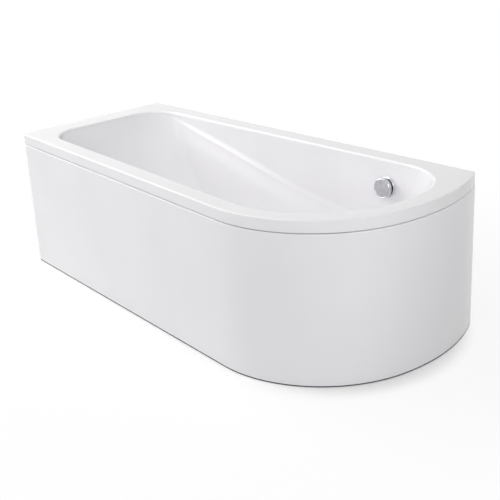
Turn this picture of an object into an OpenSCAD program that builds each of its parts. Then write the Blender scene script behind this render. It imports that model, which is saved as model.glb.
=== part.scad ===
// Shower bath with a wide, curved tap end, a one-piece curved panel, levelling feet,
// a pop-up waste turned by the overflow knob, and a trap.
// X runs from the head end to the curved end, +Y points at the room wall, and the feet stand on Z = 0.
// The origin is under the middle of the bath.

/* [Outline] */
// Length from the head end to the outermost point of the curved end
bath_length = 1700; // [1600:10:1800]
// Width at the widest place, from the room wall to the front
bath_width = 750; // [730:5:790]
// Width of the head end
head_width = 650; // [620:5:690]
// Height of the rim above the floor
rim_height = 520; // [505:5:580]
// Radius of the front knee, where the straight front turns into the curved end
knee_radius = 410; // [360:5:430]
// Radius of the long sweep from the knee round to the room wall
sweep_radius = 640; // [560:5:680]
// Distance from the room wall to the middle of the sweep
sweep_offset = 298; // [280:2:330]
// Radius of the three outer corners in plan
corner_radius = 14; // [13:1:20]

/* [Rim] */
// Height of the outer lip
lip_height = 38; // [30:1:50]
// Wall of the rim and lip
lip_wall = 5; // [4:0.5:7]
// Rounding of the lip's top edge
lip_round = 6; // [6:0.5:12]
// Width of the rim along the walls, the front and the curved end
rim_width = 60; // [58:1:70]
// Width of the rim at the head end
head_rim = 87; // [70:1:110]

/* [Basin] */
// Depth from the rim down to the waste
basin_depth = 380; // [360:5:395]
// Fall of the floor towards the waste, from the head end
floor_fall = 10; // [4:1:14]
// Wall of the basin
shell_wall = 6; // [4:0.5:8]
// Thickness of the reinforced floor at the waste
floor_wall = 10; // [8:1:14]
// Rounding where the rim turns down into the basin
basin_roll = 8; // [5:1:11]
// Slope of the steep upper walls, in mm of run for each mm of depth
wall_draft = 0.06; // [0.03:0.01:0.1]
// Depth at which the diagonal crease levels out
crease_depth = 218; // [170:2:240]
// Distance from the head end at which the crease levels out
crease_reach = 1285; // [1150:5:1320]
// Share of the crease's fall that is a straight slope
crease_straight = 0.39; // [0.3:0.01:0.8]
// Width of the soft step that the crease makes half way along
step_width = 15; // [8:1:20]
// Run of the lounge slope at the head end, from rim to floor
lounge_run = 340; // [280:5:400]
// Run of the long sides, from rim to floor
side_run = 116; // [90:2:135]
// Run of the curved end, from rim to floor
end_run = 136; // [100:2:160]
// Radius of the two basin corners at the head end
basin_corner = 126; // [100:2:140]
// Radius of the basin's corner at the wall and the curved end
back_corner = 226; // [215:1:240]

/* [Panel] */
// Thickness of the panel
panel_wall = 4; // [3:0.5:6]
// Shadow gap between the lip and the panel
panel_gap = 3; // [2:0.5:5]
// Gap under the panel
panel_foot_gap = 4; // [2:0.5:8]
// Depth of the panel's top flange and end return
panel_flange = 26; // [22:1:32]
// Rounding of the panel's top edge
panel_round = 4; // [3:0.5:5]

/* [Frame] */
// Width of the rails under the rim
rail_width = 34; // [28:1:38]
// Thickness of the floor batten behind the panel's foot
batten_width = 30; // [24:1:36]
// Height of the floor batten
batten_height = 40; // [30:1:45]
// Thickness of the baseboard
board_thickness = 18; // [15:1:20]
// Width of the cross channels
channel_width = 40; // [36:1:50]
// Height of the cross channels
channel_height = 25; // [22:1:26]
// Sheet thickness of the channels and the hat bracket
channel_wall = 2; // [1.5:0.5:3]
// Distance of the first channel from the head end of the floor
channel_head_inset = 92; // [60:2:120]
// Distance of the second channel from the curved end of the floor
channel_tap_inset = 55.5; // [45:0.5:70]
// Place of the hat bracket, as a share of the way from the first channel to the second
bracket_share = 0.46; // [0.4:0.01:0.6]
// Distance of the feet from the outside of the bath
foot_inset = 92; // [90:1:110]

/* [Feet] */
// Diameter of the levelling studs
stud_diameter = 12; // [10:1:14]
// Diameter of the foot pads
pad_diameter = 50; // [44:2:56]
// Height of the foot pads
pad_height = 14; // [12:1:16]
// Height of the lock nuts
nut_height = 10; // [8:1:10]
// Width of the lock nuts across their flats
nut_flats = 19; // [18:1:22]

/* [Waste] */
// Distance of the waste and of the overflow from the start of the basin's back corner
waste_margin = 78; // [70:0.5:90]
// Distance of the waste from the room wall
waste_y = 375; // [360:5:390]
// Diameter of the hole in the floor
waste_hole = 52; // [50:0.5:54]
// Diameter of the waste flange
flange_diameter = 70; // [68:1:72]
// Diameter of the plug's cap
plug_diameter = 60; // [56:1:64]
// Diameter of the plug's stem
stem_diameter = 8; // [7:0.5:9]
// Outer diameter of the trap's tube
trap_diameter = 40; // [36:1:42]
// Radius of the trap's bends
trap_bend = 33; // [31:1:36]
// Diameter of the waste pipe that the trap's outlet takes
outlet_pipe = 40; // [38:0.5:41]

/* [Overflow] */
// Depth of the overflow's centre below the rim
overflow_depth = 91; // [86:1:100]
// Diameter of the knob
knob_diameter = 68; // [62:1:72]
// Thickness of the knob
knob_height = 17; // [14:1:20]
// Gap between the knob and the rosette, where the water goes in
knob_gap = 9; // [7:1:12]
// Diameter of the rosette behind the knob
rosette_diameter = 74; // [72:1:78]
// Diameter of the knob's spindle
spindle_diameter = 10; // [8:1:12]
// Outer diameter of the overflow pipe
pipe_diameter = 32; // [28:1:32]

/* [Hidden] */
$fn = 96;

// Clearances: turning or sliding fits, loose holes, and parts that only face each other
run_clear = 0.04;
hole_clear = 0.3;
face_clear = 0.3;
// How far a cutter, or a piece that is fused to another, reaches past a face
past = 1;

// Plan of the outline, in the frame of the bath
x_head = -bath_length / 2;
y_wall = bath_width / 2;
sweep_c = [bath_length / 2 - sweep_radius, y_wall - sweep_offset];
knee_y = knee_radius - bath_width / 2;
knee_c = [sweep_c.x + sqrt(pow(sweep_radius - knee_radius, 2) - pow(sweep_c.y - knee_y, 2)), knee_y];
to_knee = knee_c - [x_head, y_wall - head_width];
taper = asin(knee_radius / norm(to_knee)) - atan2(to_knee.y, to_knee.x);
// Polar angles at which the knee starts and ends and the sweep meets the last corner
knee_from = -90 - taper;
knee_to = atan2(knee_c.y - sweep_c.y, knee_c.x - sweep_c.x);
sweep_to = asin((sweep_offset - corner_radius) / (sweep_radius - corner_radius));
last_c = sweep_c + (sweep_radius - corner_radius) * [cos(sweep_to), sin(sweep_to)];

// Heights
z_deck = rim_height - lip_wall;
z_lip = rim_height - lip_height;
z_floor = rim_height - basin_depth;
z_under = z_floor - floor_wall;
z_board = z_under - board_thickness;
z_channel = z_board - channel_height;
z_panel = z_lip - panel_gap;

// A point at polar angle a
function polar(a) = [cos(a), sin(a)];
function mix(a, b, t) = a + (b - a) * t;
function smooth(t) = t * t * (3 - 2 * t);
function clamp01(t) = min(1, max(0, t));

// Y of the front line, moved inwards by inset, at x
function front_y(x, inset) =
    let (r = knee_radius - inset)
    knee_c.y - r * cos(taper) - (x - knee_c.x + r * sin(taper)) * tan(taper);
// Y of the whole front, straight or knee, at x
function outer_front(x) =
    let (bend = knee_c.x + knee_radius * cos(knee_from))
    x < bend ? front_y(x, 0) : knee_c.y - sqrt(pow(knee_radius, 2) - pow(x - knee_c.x, 2));
// Centre of a corner of radius r between the head end and the front, both moved inwards
function front_corner(left, front, r) = [x_head + left + r, front_y(x_head + left + r, front + r)];

// Points along an arc, with or without its first one
function arc_points(c, r, from, to, steps, first = 0) =
    [for (i = [first:steps]) c + r * polar(mix(from, to, i / steps))];

outline_corner_steps = 5;
outline_knee_steps = 20;
outline_sweep_steps = 16;

// The outline moved inwards by d, for d under the corner radius, from the head end along the front
function outline_points(d) =
    let (
        fc = front_corner(0, 0, corner_radius),
        bc = [x_head + corner_radius, y_wall - corner_radius],
        rc = corner_radius - d
    )
    concat(
        arc_points(fc, rc, -180, knee_from, outline_corner_steps),
        arc_points(knee_c, knee_radius - d, knee_from, knee_to, outline_knee_steps),
        arc_points(sweep_c, sweep_radius - d, knee_to, sweep_to, outline_sweep_steps, 1),
        arc_points(last_c, rc, sweep_to, 90, outline_corner_steps, 1),
        arc_points(bc, rc, 90, 180, outline_corner_steps)
    );
function outline_ring(d, z) = [for (p = outline_points(d)) [p.x, p.y, z]];

// Runs of a profile along the outline: X of the profile is the inset, Y is the height
module straight_run(from, to) {
    step = to - from;
    heading = atan2(step.y, step.x);
    translate(from) rotate([0, 0, heading + 90]) rotate([90, 0, 0]) linear_extrude(norm(step)) children();
}

module arc_run(c, r, from, to) {
    translate(c) rotate([0, 0, from]) rotate_extrude(angle = to - from, $fn = 180)
        translate([r, 0]) mirror([1, 0]) children();
}

// Basin: one ring of points for each depth

// How far along the crease x lies
function crease_share(x) = clamp01((x - x_head - head_rim) / (crease_reach - head_rim));

// Depth of the crease at x
function crease_at(x) =
    let (u = crease_share(x))
    basin_roll + (crease_depth - basin_roll) * (crease_straight * u + (1 - crease_straight) * smooth(u));

// Width of the crease's step at x: it grows from nothing at the head end, and fades out where the
// crease levels out
step_grow = 0.25;
step_fade = 0.3;
function step_at(x) =
    let (u = crease_share(x))
    step_width * smooth(clamp01(u / step_grow)) * smooth(clamp01((1 - u) / step_fade));

edge_steps = 10;
head_steps = 4;
corner_steps = 8;
knee_steps = 12;
back_steps = 9;
low_steps = 8;

// Stations round the basin: which stretch, and how far along it
stations = [
    for (i = [0:head_steps - 1]) [0, i / head_steps],
    for (i = [0:corner_steps - 1]) [1, i / corner_steps],
    for (i = [0:edge_steps - 1]) [2, i / edge_steps],
    for (i = [0:knee_steps - 1]) [3, i / knee_steps],
    [4, 0],
    for (i = [0:back_steps - 1]) [5, i / back_steps],
    for (i = [0:edge_steps - 1]) [6, i / edge_steps],
    for (i = [0:corner_steps - 1]) [7, i / corner_steps]
];

// How far a station belongs to the head end (1) or the sides (0), and to the curved end
function head_share(s) =
    s[0] == 0 ? 1 : s[0] == 1 ? smooth(1 - s[1]) : s[0] == 7 ? smooth(s[1]) : 0;
function end_share(s) =
    s[0] == 3 ? smooth(s[1]) : s[0] == 4 ? 1 : s[0] == 5 ? smooth(1 - s[1]) : 0;

// A point of an ellipse
function oval(along, across, angle) = [along * cos(angle), across * sin(angle)];

// Point of a station when the head end, front, curved end and wall side have these insets. The
// corners at the head end are ellipses that reach long along the bath and corner across it.
function ring_point(s, head, front, end, back, corner, long, round) =
    let (
        x = x_head + head + long,
        slope = long * tan(taper),
        fc = [x, front_y(x, front) + norm([corner, slope])],
        bc = [x, y_wall - back - corner],
        turn = -90 - atan(slope / corner),
        right = knee_c.x + knee_radius - end,
        rc = [right - round, y_wall - back - round],
        side = mix(front, end, end_share(s)),
        knee_r = knee_radius - side,
        sweep = mix(knee_from, 0, s[1])
    )
    s[0] == 0 ? mix([x_head + head, bc.y], [x_head + head, fc.y], s[1]) :
    s[0] == 1 ? fc + oval(long, corner, mix(-180, turn, s[1])) :
    s[0] == 2 ? mix(fc + oval(long, corner, turn), knee_c + knee_r * polar(knee_from), s[1]) :
    s[0] == 3 ? knee_c + knee_r * polar(sweep) :
    s[0] == 4 ? [right, knee_c.y] :
    s[0] == 5 ? rc + round * polar(90 * s[1]) :
    s[0] == 6 ? mix([rc.x, y_wall - back], [bc.x, y_wall - back], s[1]) :
    bc + oval(long, corner, mix(90, 180, s[1]));

// How much the head corners grow across and along the bath, and the back corner tightens, from the
// crease to the floor, and how much of half the basin's width a head corner may take
corner_growth = 20;
corner_stretch = 170;
back_tighten = 90;
corner_fill = 0.98;

// Point of a station when the basin has moved in by run from the rim, by the same rule on every side,
// and is share of the way from the crease to the floor
function basin_xy(s, steep, share, skin) =
    let (
        head = head_rim - skin + mix(steep, lounge_run, share),
        side = rim_width - skin + mix(steep, side_run, share),
        end = rim_width - skin + mix(steep, end_run, share),
        half = (y_wall - side - front_y(x_head + head, side)) / 2,
        corner = min(corner_fill * half, basin_corner + skin + corner_growth * share),
        long = basin_corner + skin + corner_stretch * share,
        room = y_wall - side - knee_c.y,
        round = min(room, back_corner + skin - steep - back_tighten * share)
    )
    ring_point(s, head, side, end, side, corner, long, round);

// Run of the steep wall at the crease
function steep_run(crease) = basin_roll + wall_draft * (crease - basin_roll);

// Share of the way to the floor at the angle t, from 0 at the crease to 90 on the floor. A larger
// lean makes a straighter slope.
side_lean = 0.45;
lounge_lean = 0.75;
function bowl_share(s, t) =
    let (lean = mix(side_lean, lounge_lean, head_share(s)))
    lean * sin(t) + (1 - lean) * (1 - cos(t));

// Both ends of the floor, and the waste
x_floor = x_head + head_rim + lounge_run;
x_floor_end = knee_c.x + knee_radius - rim_width - end_run;
waste_c = [knee_c.x + knee_radius - rim_width - back_corner - waste_margin, y_wall - waste_y];

// Depth of the floor's edge at a point of the plan
function floor_edge(p) = basin_depth - floor_fall * norm(p - waste_c) / (waste_c.x - x_floor);

// X at which the crease counts for a ring of the lower basin: it moves along the bath with the ring,
// so that the head corners run smoothly into the sides
function crease_x(s, share) =
    let (
        rim = basin_xy(s, 0, 0, 0),
        run = steep_run(crease_at(rim.x))
    )
    rim.x + basin_xy(s, run, share, 0).x - basin_xy(s, run, 0, 0).x;

// A ring of the lower basin; skin is 0 inside, and the wall's thickness outside
function low_point(s, t, skin) =
    let (
        share = bowl_share(s, t),
        x = crease_x(s, share),
        crease = crease_at(x),
        step = step_at(x),
        foot = basin_xy(s, 0, 1, skin),
        bottom = skin > 0 ? basin_depth + floor_wall : floor_edge(foot),
        p = basin_xy(s, steep_run(crease) + step, share, skin)
    )
    [p.x, p.y, rim_height - mix(crease + step, bottom, sin(t))];

// A ring of the steep upper wall at a share of the way down to the crease
function wall_point(s, u, skin) =
    let (
        rim = basin_xy(s, 0, 0, 0),
        depth = mix(basin_roll, crease_at(rim.x), u),
        p = basin_xy(s, steep_run(depth), 0, skin)
    )
    [p.x, p.y, rim_height - depth];

// A ring of the rounding at the rim, at the angle t
function roll_point(s, t) =
    let (p = basin_xy(s, basin_roll * sin(t), 0, 0))
    [p.x, p.y, rim_height - basin_roll * (1 - cos(t))];

function level_ring(z, steep, skin) =
    [for (s = stations) let (p = basin_xy(s, steep, 0, skin)) [p.x, p.y, z]];

// A closed solid through rings from the top down, with a flat top and a floor that falls to one point
module lofted(rings, low) {
    n = len(rings[0]);
    m = len(rings);
    polyhedron(
        points = concat([for (r = rings) each r], [low]),
        faces = concat(
            [[for (i = [0:n - 1]) n - 1 - i]],
            [for (j = [0:m - 2]) for (i = [0:n - 1]) let (k = (i + 1) % n, a = j * n, b = a + n)
                each [[a + i, a + k, b + k], [a + i, b + k, b + i]]],
            [for (i = [0:n - 1]) [(m - 1) * n + i, (m - 1) * n + (i + 1) % n, m * n]]
        )
    );
}

module basin_hollow() {
    lofted(concat(
        [level_ring(rim_height + lip_wall, 0, 0)],
        [for (t = [0, 45, 90]) [for (s = stations) roll_point(s, t)]],
        [for (u = [0.5, 1]) [for (s = stations) wall_point(s, u, 0)]],
        [for (k = [0:low_steps]) [for (s = stations) low_point(s, 90 * k / low_steps, 0)]]
    ), [waste_c.x, waste_c.y, z_floor]);
}

module basin_body() {
    lofted(concat(
        [level_ring(z_deck + lip_wall / 2, basin_roll, shell_wall)],
        [for (u = [0, 0.5, 1]) [for (s = stations) wall_point(s, u, shell_wall)]],
        [for (k = [0:low_steps]) [for (s = stations) low_point(s, 90 * k / low_steps, shell_wall)]]
    ), [waste_c.x, waste_c.y, z_under]);
}

// Overflow: its frame has Z along the spindle, into the basin, and X along the bath
wall_lean = atan(wall_draft);
overflow_at = [
    waste_c.x,
    y_wall - rim_width - basin_roll - wall_draft * (overflow_depth - basin_roll),
    rim_height - overflow_depth
];
module at_overflow() {
    translate(overflow_at) rotate([90 - wall_lean, 0, 0]) children();
}

overflow_hole = 52;

// The rim as a solid dish: its top edge is rounded by r about an arc whose centre lies inset from the
// outline and as far below the rim
round_steps = 4;
function round_rings(inset, r) = [for (k = [0:round_steps])
    let (t = 90 * k / round_steps)
    outline_ring(inset - r * sin(t), rim_height - inset + r * cos(t))];

// Smallest rounding inside the lip
least_round = 1.5;

module rim() {
    inner = max(lip_round, lip_wall + least_round);
    difference() {
        lofted(concat(round_rings(lip_round, lip_round), [outline_ring(0, z_lip)]), [0, 0, z_lip]);
        lofted(concat(round_rings(inner, inner - lip_wall), [outline_ring(lip_wall, z_lip - past)]),
            [0, 0, z_lip - past]);
    }
}

waste_recess = 3;
recess_margin = 6;

module tub_shell() {
    color("white") difference() {
        union() {
            rim();
            basin_body();
        }
        basin_hollow();
        translate([waste_c.x, waste_c.y, z_floor - waste_recess])
            cylinder(d = flange_diameter + 2 * recess_margin, h = floor_wall);
        translate([waste_c.x, waste_c.y, z_under - past])
            cylinder(d = waste_hole, h = floor_wall + 2 * past);
        at_overflow() translate([0, 0, -shell_wall * 2]) cylinder(d = overflow_hole, h = shell_wall * 3);
    }
}

// Baseboard, with a slot round the waste that runs out to the overflow pipe
board_margin = 12;
waste_slot = 112;
pipe_slot = 60;
screw_diameter = 5;
screw_depth = 14;

module baseboard() {
    foot = [for (s = stations) basin_xy(s, board_margin, 1, 0)];
    color("burlywood") difference() {
        translate([0, 0, z_board]) linear_extrude(board_thickness) polygon(foot);
        translate([waste_c.x, waste_c.y, z_board - past])
            cylinder(d = waste_slot, h = board_thickness + 2 * past);
        translate([waste_c.x - pipe_slot / 2, waste_c.y, z_board - past])
            cube([pipe_slot, y_wall, board_thickness + 2 * past]);
        for (p = frame_screw_places()) translate([p.x, p.y, z_board - past])
            cylinder(d = screw_diameter, h = screw_depth + past);
    }
}

// Rails bonded under the rim
rail_inset = 16;
rail_end_gap = 20;
rail_end_angle = 8;

module rail_profile() {
    translate([rail_inset, z_lip]) square([rail_width, z_deck - z_lip]);
}

module front_rail() {
    color("burlywood") difference() {
        straight_run(front_at(rail_start), front_at(rail_stop)) rail_profile();
        clip_screw_holes();
    }
}

module clip_screw_holes() {
    for (p = clip_spots) translate([p.x, p.y, z_lip - past])
        cylinder(d = small_screw, h = small_screw_depth + past, $fn = 32);
}

// A point of the front line at a distance from the head end
function front_at(x) = [x_head + x, front_y(x_head + x, 0)];
rail_start = 70;
rail_stop = knee_c.x + knee_radius * cos(knee_from) - x_head - rail_end_gap;

module back_rail() {
    color("burlywood") difference() {
        straight_run([last_c.x - rail_start, y_wall], [x_head + rail_start, y_wall]) rail_profile();
        for (x = wall_bracket_places()) for (y = bracket_screw_y())
            translate([x, y, z_lip - past]) cylinder(d = small_screw, h = small_screw_depth + past);
    }
}

module head_rail() {
    fc = front_corner(0, 0, corner_radius);
    color("burlywood")
        straight_run([x_head, y_wall - rail_start], [x_head, fc.y + rail_start]) rail_profile();
}

// Stations along an arc for a swept profile: a point of the outline and its inward direction
function arc_stations(c, r, from, to, steps, first = 0) =
    [for (i = [first:steps]) let (a = mix(from, to, i / steps)) [c + r * polar(a), -polar(a)]];

// The profile's points, as inset and height, at a station
function profile_ring(station, profile) =
    [for (q = profile) [each (station[0] + q.x * station[1]), q.y]];

// A closed solid through rings that are all profiles with the same count of points. The convex
// pieces of the profile close its two ends.
module swept(rings, pieces) {
    n = len(rings[0]);
    m = len(rings);
    polyhedron(
        points = [for (r = rings) each r],
        faces = concat(
            pieces,
            [for (j = [0:m - 2]) for (i = [0:n - 1]) let (k = (i + 1) % n, a = j * n, b = a + n)
                each [[a + i, b + i, b + k], [a + i, b + k, a + k]]],
            [for (p = pieces) [for (i = [len(p) - 1:-1:0]) (m - 1) * n + p[i]]]
        )
    );
}

// The bent rail stops short of the wall side
curved_rail_steps = 14;

module curved_rail() {
    profile = [
        [rail_inset + rail_width, z_lip], [rail_inset + rail_width, z_deck], [rail_inset, z_deck],
        [rail_inset, z_lip]
    ];
    stations = concat(
        arc_stations(knee_c, knee_radius, knee_from, knee_to, curved_rail_steps),
        arc_stations(sweep_c, sweep_radius, knee_to, rail_end_angle, curved_rail_steps / 2, 1)
    );
    color("burlywood") difference() {
        swept([for (p = stations) profile_ring(p, profile)], [[0, 1, 2, 3]]);
        clip_screw_holes();
    }
}

// Panel: a skin with a rounded top edge, and a flange that runs in under the lip. The flange is
// narrow on the return at the head end, and the last ring lies in the plane of the room wall.
return_flange = 9;
flange_start = 30;
panel_pieces = [[0, 1, 8, 9], [1, 4, 5, 6, 7, 8], [1, 2, 3, 4]];
edge_round = [for (t = [0, 22.5, 45, 67.5, 90])
    [panel_round * (1 - sin(t)), z_panel - panel_round + panel_round * cos(t)]];
function panel_profile(flange) = concat(
    [[panel_wall, panel_foot_gap], [panel_wall, z_panel - panel_wall], [flange, z_panel - panel_wall],
        [flange, z_panel]],
    edge_round, [[0, panel_foot_gap]]);
function wall_ring(profile) =
    [for (q = profile)
        [sweep_c.x + sqrt(pow(sweep_radius - q.x, 2) - pow(sweep_offset, 2)), y_wall, q.y]];
panel_corner = front_corner(0, 0, corner_radius);
return_stations = concat(
    [[[x_head, panel_corner.y + panel_flange], [1, 0]]],
    arc_stations(panel_corner, corner_radius, -180, knee_from, outline_corner_steps)
);
front_stations = concat(
    [[front_at(flange_start), -polar(knee_from)]],
    arc_stations(knee_c, knee_radius, knee_from, knee_to, outline_knee_steps),
    arc_stations(sweep_c, sweep_radius, knee_to, sweep_to - 1, outline_sweep_steps, 1)
);

module front_panel() {
    rings = concat(
        [for (p = return_stations) profile_ring(p, panel_profile(return_flange))],
        [for (p = front_stations) profile_ring(p, panel_profile(panel_flange))],
        [wall_ring(panel_profile(panel_flange))]
    );
    color("white") swept(rings, panel_pieces);
}

// Clips that hold the panel's flange from inside, screwed up into the rails
clip_x = [220, 640, 1060];
clip_length = 40;
clip_wall = 3;
clip_curve_angle = -48;
small_screw = 4;
small_screw_depth = 16;
head_height = 2.5;
screw_play = 0.1;
clip_play = 2;
clip_hook = 14;
clip_screw_inset = rail_inset + rail_width * 0.7;
n_in = [sin(taper), cos(taper)];
clip_spots = concat(
    [for (x = clip_x) front_at(x) + clip_screw_inset * n_in],
    [knee_c + (knee_radius - clip_screw_inset) * polar(clip_curve_angle)]
);

module clip_profile() {
    jaw = panel_flange + clip_play;
    low = z_panel - panel_wall - face_clear;
    near = jaw - clip_hook;
    far = clip_screw_inset + small_screw + clip_play;
    translate([near, z_panel + face_clear]) square([far - near, panel_gap - face_clear]);
    translate([jaw, low - clip_wall]) square([clip_wall, z_lip - low + clip_wall]);
    translate([near, low - clip_wall]) square([clip_hook + clip_wall, clip_wall]);
}

module panel_clips() {
    half = clip_length / 2;
    turn = half / knee_radius * 180 / PI;
    color("gray") difference() {
        union() {
            for (x = clip_x) straight_run(front_at(x - half), front_at(x + half)) clip_profile();
            arc_run(knee_c, knee_radius, clip_curve_angle - turn, clip_curve_angle + turn) clip_profile();
        }
        for (p = clip_spots) translate([p.x, p.y, z_panel - past])
            cylinder(d = small_screw, h = panel_gap + 2 * past, $fn = 32);
    }
}

// A pan-head screw that points up, with the underside of its head at z
module screw(d, depth, z) {
    translate([0, 0, z]) cylinder(d = d - screw_play, h = depth, $fn = 32);
    translate([0, 0, z - head_height]) cylinder(d = 2 * d, h = head_height, $fn = 32);
}

module clip_screws() {
    color("silver") for (p = clip_spots)
        translate([p.x, p.y, 0]) screw(small_screw, small_screw_depth - 1, z_panel + face_clear);
}

// Timber on the floor behind the panel's foot
module batten_profile() {
    translate([panel_wall + face_clear, 0]) square([batten_width, batten_height]);
}

batten_start = 90;
block_on_knee = [-62, -44];
block_on_sweep = [2, 14];

module floor_batten() {
    color("burlywood") straight_run(front_at(batten_start), front_at(rail_stop)) batten_profile();
}

module floor_blocks() {
    color("burlywood") {
        arc_run(knee_c, knee_radius, block_on_knee[0], block_on_knee[1]) batten_profile();
        arc_run(sweep_c, sweep_radius, block_on_sweep[0], block_on_sweep[1]) batten_profile();
    }
}

// Cross channels, hat bracket, feet
channel_end = 22;
channels = [x_floor + channel_head_inset, x_floor_end - channel_tap_inset];
bracket_x = mix(channels[0], channels[1], bracket_share);
bracket_c = [bracket_x, board_mid(bracket_x)];
bracket_length = 60;
hat_cavity = 56;
hat_flange = 22;
hat_screw_y = 18;
screw_row = [-85, -40, 40, 85];

// Middle of the floor, between the wall side and the front, at x
function board_mid(x) = (y_wall + outer_front(x)) / 2;
function channel_screws(x) = [for (dy = screw_row) [x, board_mid(x) + dy]];
function frame_screw_places() = concat(
    channel_screws(channels[0]),
    channel_screws(channels[1]),
    [for (sx = [-1, 1]) for (sy = [-1, 1])
        bracket_c + [sx * (hat_cavity + hat_flange) / 2, sy * hat_screw_y]]
);

module cross_channel(x) {
    front = outer_front(x) + foot_inset - channel_end;
    back = y_wall - foot_inset + channel_end;
    difference() {
        translate([x - channel_width / 2, front, z_channel])
            cube([channel_width, back - front, channel_height]);
        translate([x - channel_width / 2 + channel_wall, front - past, z_channel - past]) cube([
            channel_width - 2 * channel_wall, back - front + 2 * past, channel_height - channel_wall + past
        ]);
        for (y = [front + channel_end, back - channel_end]) translate([x, y, z_channel])
            cylinder(d = stud_diameter + 2 * hole_clear, h = channel_height + past, $fn = 48);
        for (p = channel_screws(x)) translate([p.x, p.y, z_channel])
            cylinder(d = screw_diameter + hole_clear, h = channel_height + past, $fn = 32);
    }
}

module channel_head() {
    color("silver") cross_channel(channels[0]);
}

module channel_tap() {
    color("silver") cross_channel(channels[1]);
}

module hat_profile() {
    half = hat_cavity / 2;
    for (s = [-1, 1])
        translate([s * (half + hat_flange / 2) - hat_flange / 2, channel_height - channel_wall])
            square([hat_flange, channel_wall]);
    for (s = [-1, 1]) translate([s * (half - channel_wall / 2) - channel_wall / 2, 0])
        square([channel_wall, channel_height]);
    translate([-half, 0]) square([hat_cavity, channel_wall]);
}

module hat_bracket() {
    color("silver") difference() {
        translate([bracket_c.x, bracket_c.y + bracket_length / 2, z_channel])
            rotate([90, 0, 0]) linear_extrude(bracket_length) hat_profile();
        translate([bracket_c.x, bracket_c.y, z_channel - past])
            cylinder(d = stud_diameter + 2 * hole_clear, h = channel_wall + 2 * past, $fn = 48);
        for (p = frame_screw_places()) translate([p.x, p.y, z_board - channel_wall - past])
            cylinder(d = screw_diameter + hole_clear, h = channel_wall + 2 * past, $fn = 32);
    }
}

module frame_screws() {
    color("silver") for (p = frame_screw_places())
        translate([p.x, p.y, 0]) screw(screw_diameter, screw_depth, z_board - channel_wall);
}

// Feet: two under each channel, and one under the hat bracket
foot_up = 10;
feet = [
    [channels[0], y_wall - foot_inset],
    [channels[0], outer_front(channels[0]) + foot_inset],
    [channels[1], y_wall - foot_inset],
    [channels[1], outer_front(channels[1]) + foot_inset],
    bracket_c
];
pad_floor = 5;
pad_neck = 5;
stud_above = 22;
stud_chamfer = 1;

// Studs of the channels stand through the web; the middle one stays under the baseboard
module stud(k) {
    top = k < 4 ? z_board + stud_above : z_board - foot_up - 2;
    length = top - pad_floor - stud_chamfer;
    color("silver") translate([feet[k].x, feet[k].y, pad_floor]) union() {
        cylinder(d = stud_diameter, h = length, $fn = 48);
        translate([0, 0, length])
            cylinder(d1 = stud_diameter, d2 = stud_diameter - 2 * stud_chamfer, h = stud_chamfer, $fn = 48);
    }
}

// A flat round foot that narrows to a neck round the stud
module pad(k) {
    r = pad_diameter / 2;
    neck = stud_diameter / 2 + pad_neck;
    bore = stud_diameter / 2 + run_clear;
    color("dimgray") translate([feet[k].x, feet[k].y, 0]) rotate_extrude() polygon([
        [0, 0], [r - 1, 0], [r, 1], [r, pad_height * 0.4], [neck + 1, pad_height * 0.7], [neck, pad_height],
        [bore, pad_height], [bore, pad_floor], [0, pad_floor]
    ]);
}

module stud_head_wall() { stud(0); }
module stud_head_front() { stud(1); }
module stud_tap_wall() { stud(2); }
module stud_tap_front() { stud(3); }
module stud_middle() { stud(4); }
module pad_head_wall() { pad(0); }
module pad_head_front() { pad(1); }
module pad_tap_wall() { pad(2); }
module pad_tap_front() { pad(3); }
module pad_middle() { pad(4); }

module hex_nut(z) {
    translate([0, 0, z]) difference() {
        cylinder(d = nut_flats / cos(30), h = nut_height, $fn = 6);
        translate([0, 0, -past])
            cylinder(d = stud_diameter + 2 * run_clear, h = nut_height + 2 * past, $fn = 48);
    }
}

// One nut on each side of the sheet that each stud goes through
module lock_nuts() {
    color("gray") for (k = [0:4]) {
        top = k < 4 ? z_board : z_channel + channel_wall;
        translate([feet[k].x, feet[k].y, 0]) {
            hex_nut(top);
            hex_nut(top - channel_wall - nut_height);
        }
    }
}

// Brackets between the back rail and the room wall
wall_bracket_x = [360, 1060];
wall_bracket_width = 32;
wall_bracket_drop = 56;
wall_bracket_wall = 3;
wall_hole = 6;
wall_hole_drop = 36.4;
function wall_bracket_places() = [for (x = wall_bracket_x) x_head + x];
function bracket_screw_y() = [for (k = [0.25, 0.75]) y_wall - rail_inset - k * rail_width];

module wall_brackets() {
    reach = rail_inset + rail_width;
    color("silver") for (x = wall_bracket_places()) difference() {
        union() {
            translate([x - wall_bracket_width / 2, y_wall - wall_bracket_wall, z_lip - wall_bracket_drop])
                cube([wall_bracket_width, wall_bracket_wall, wall_bracket_drop]);
            translate([x - wall_bracket_width / 2, y_wall - reach, z_lip - wall_bracket_wall])
                cube([wall_bracket_width, reach, wall_bracket_wall]);
        }
        translate([x, y_wall + past, z_lip - wall_hole_drop]) rotate([90, 0, 0])
            cylinder(d = wall_hole, h = wall_bracket_wall + 2 * past, $fn = 32);
        for (y = bracket_screw_y()) translate([x, y, z_lip - wall_bracket_wall - past])
            cylinder(d = small_screw + hole_clear, h = wall_bracket_wall + 2 * past, $fn = 32);
    }
}

module bracket_screws() {
    color("silver") for (x = wall_bracket_places()) for (y = bracket_screw_y())
        translate([x, y, 0]) screw(small_screw, small_screw_depth, z_lip - wall_bracket_wall);
}

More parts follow.
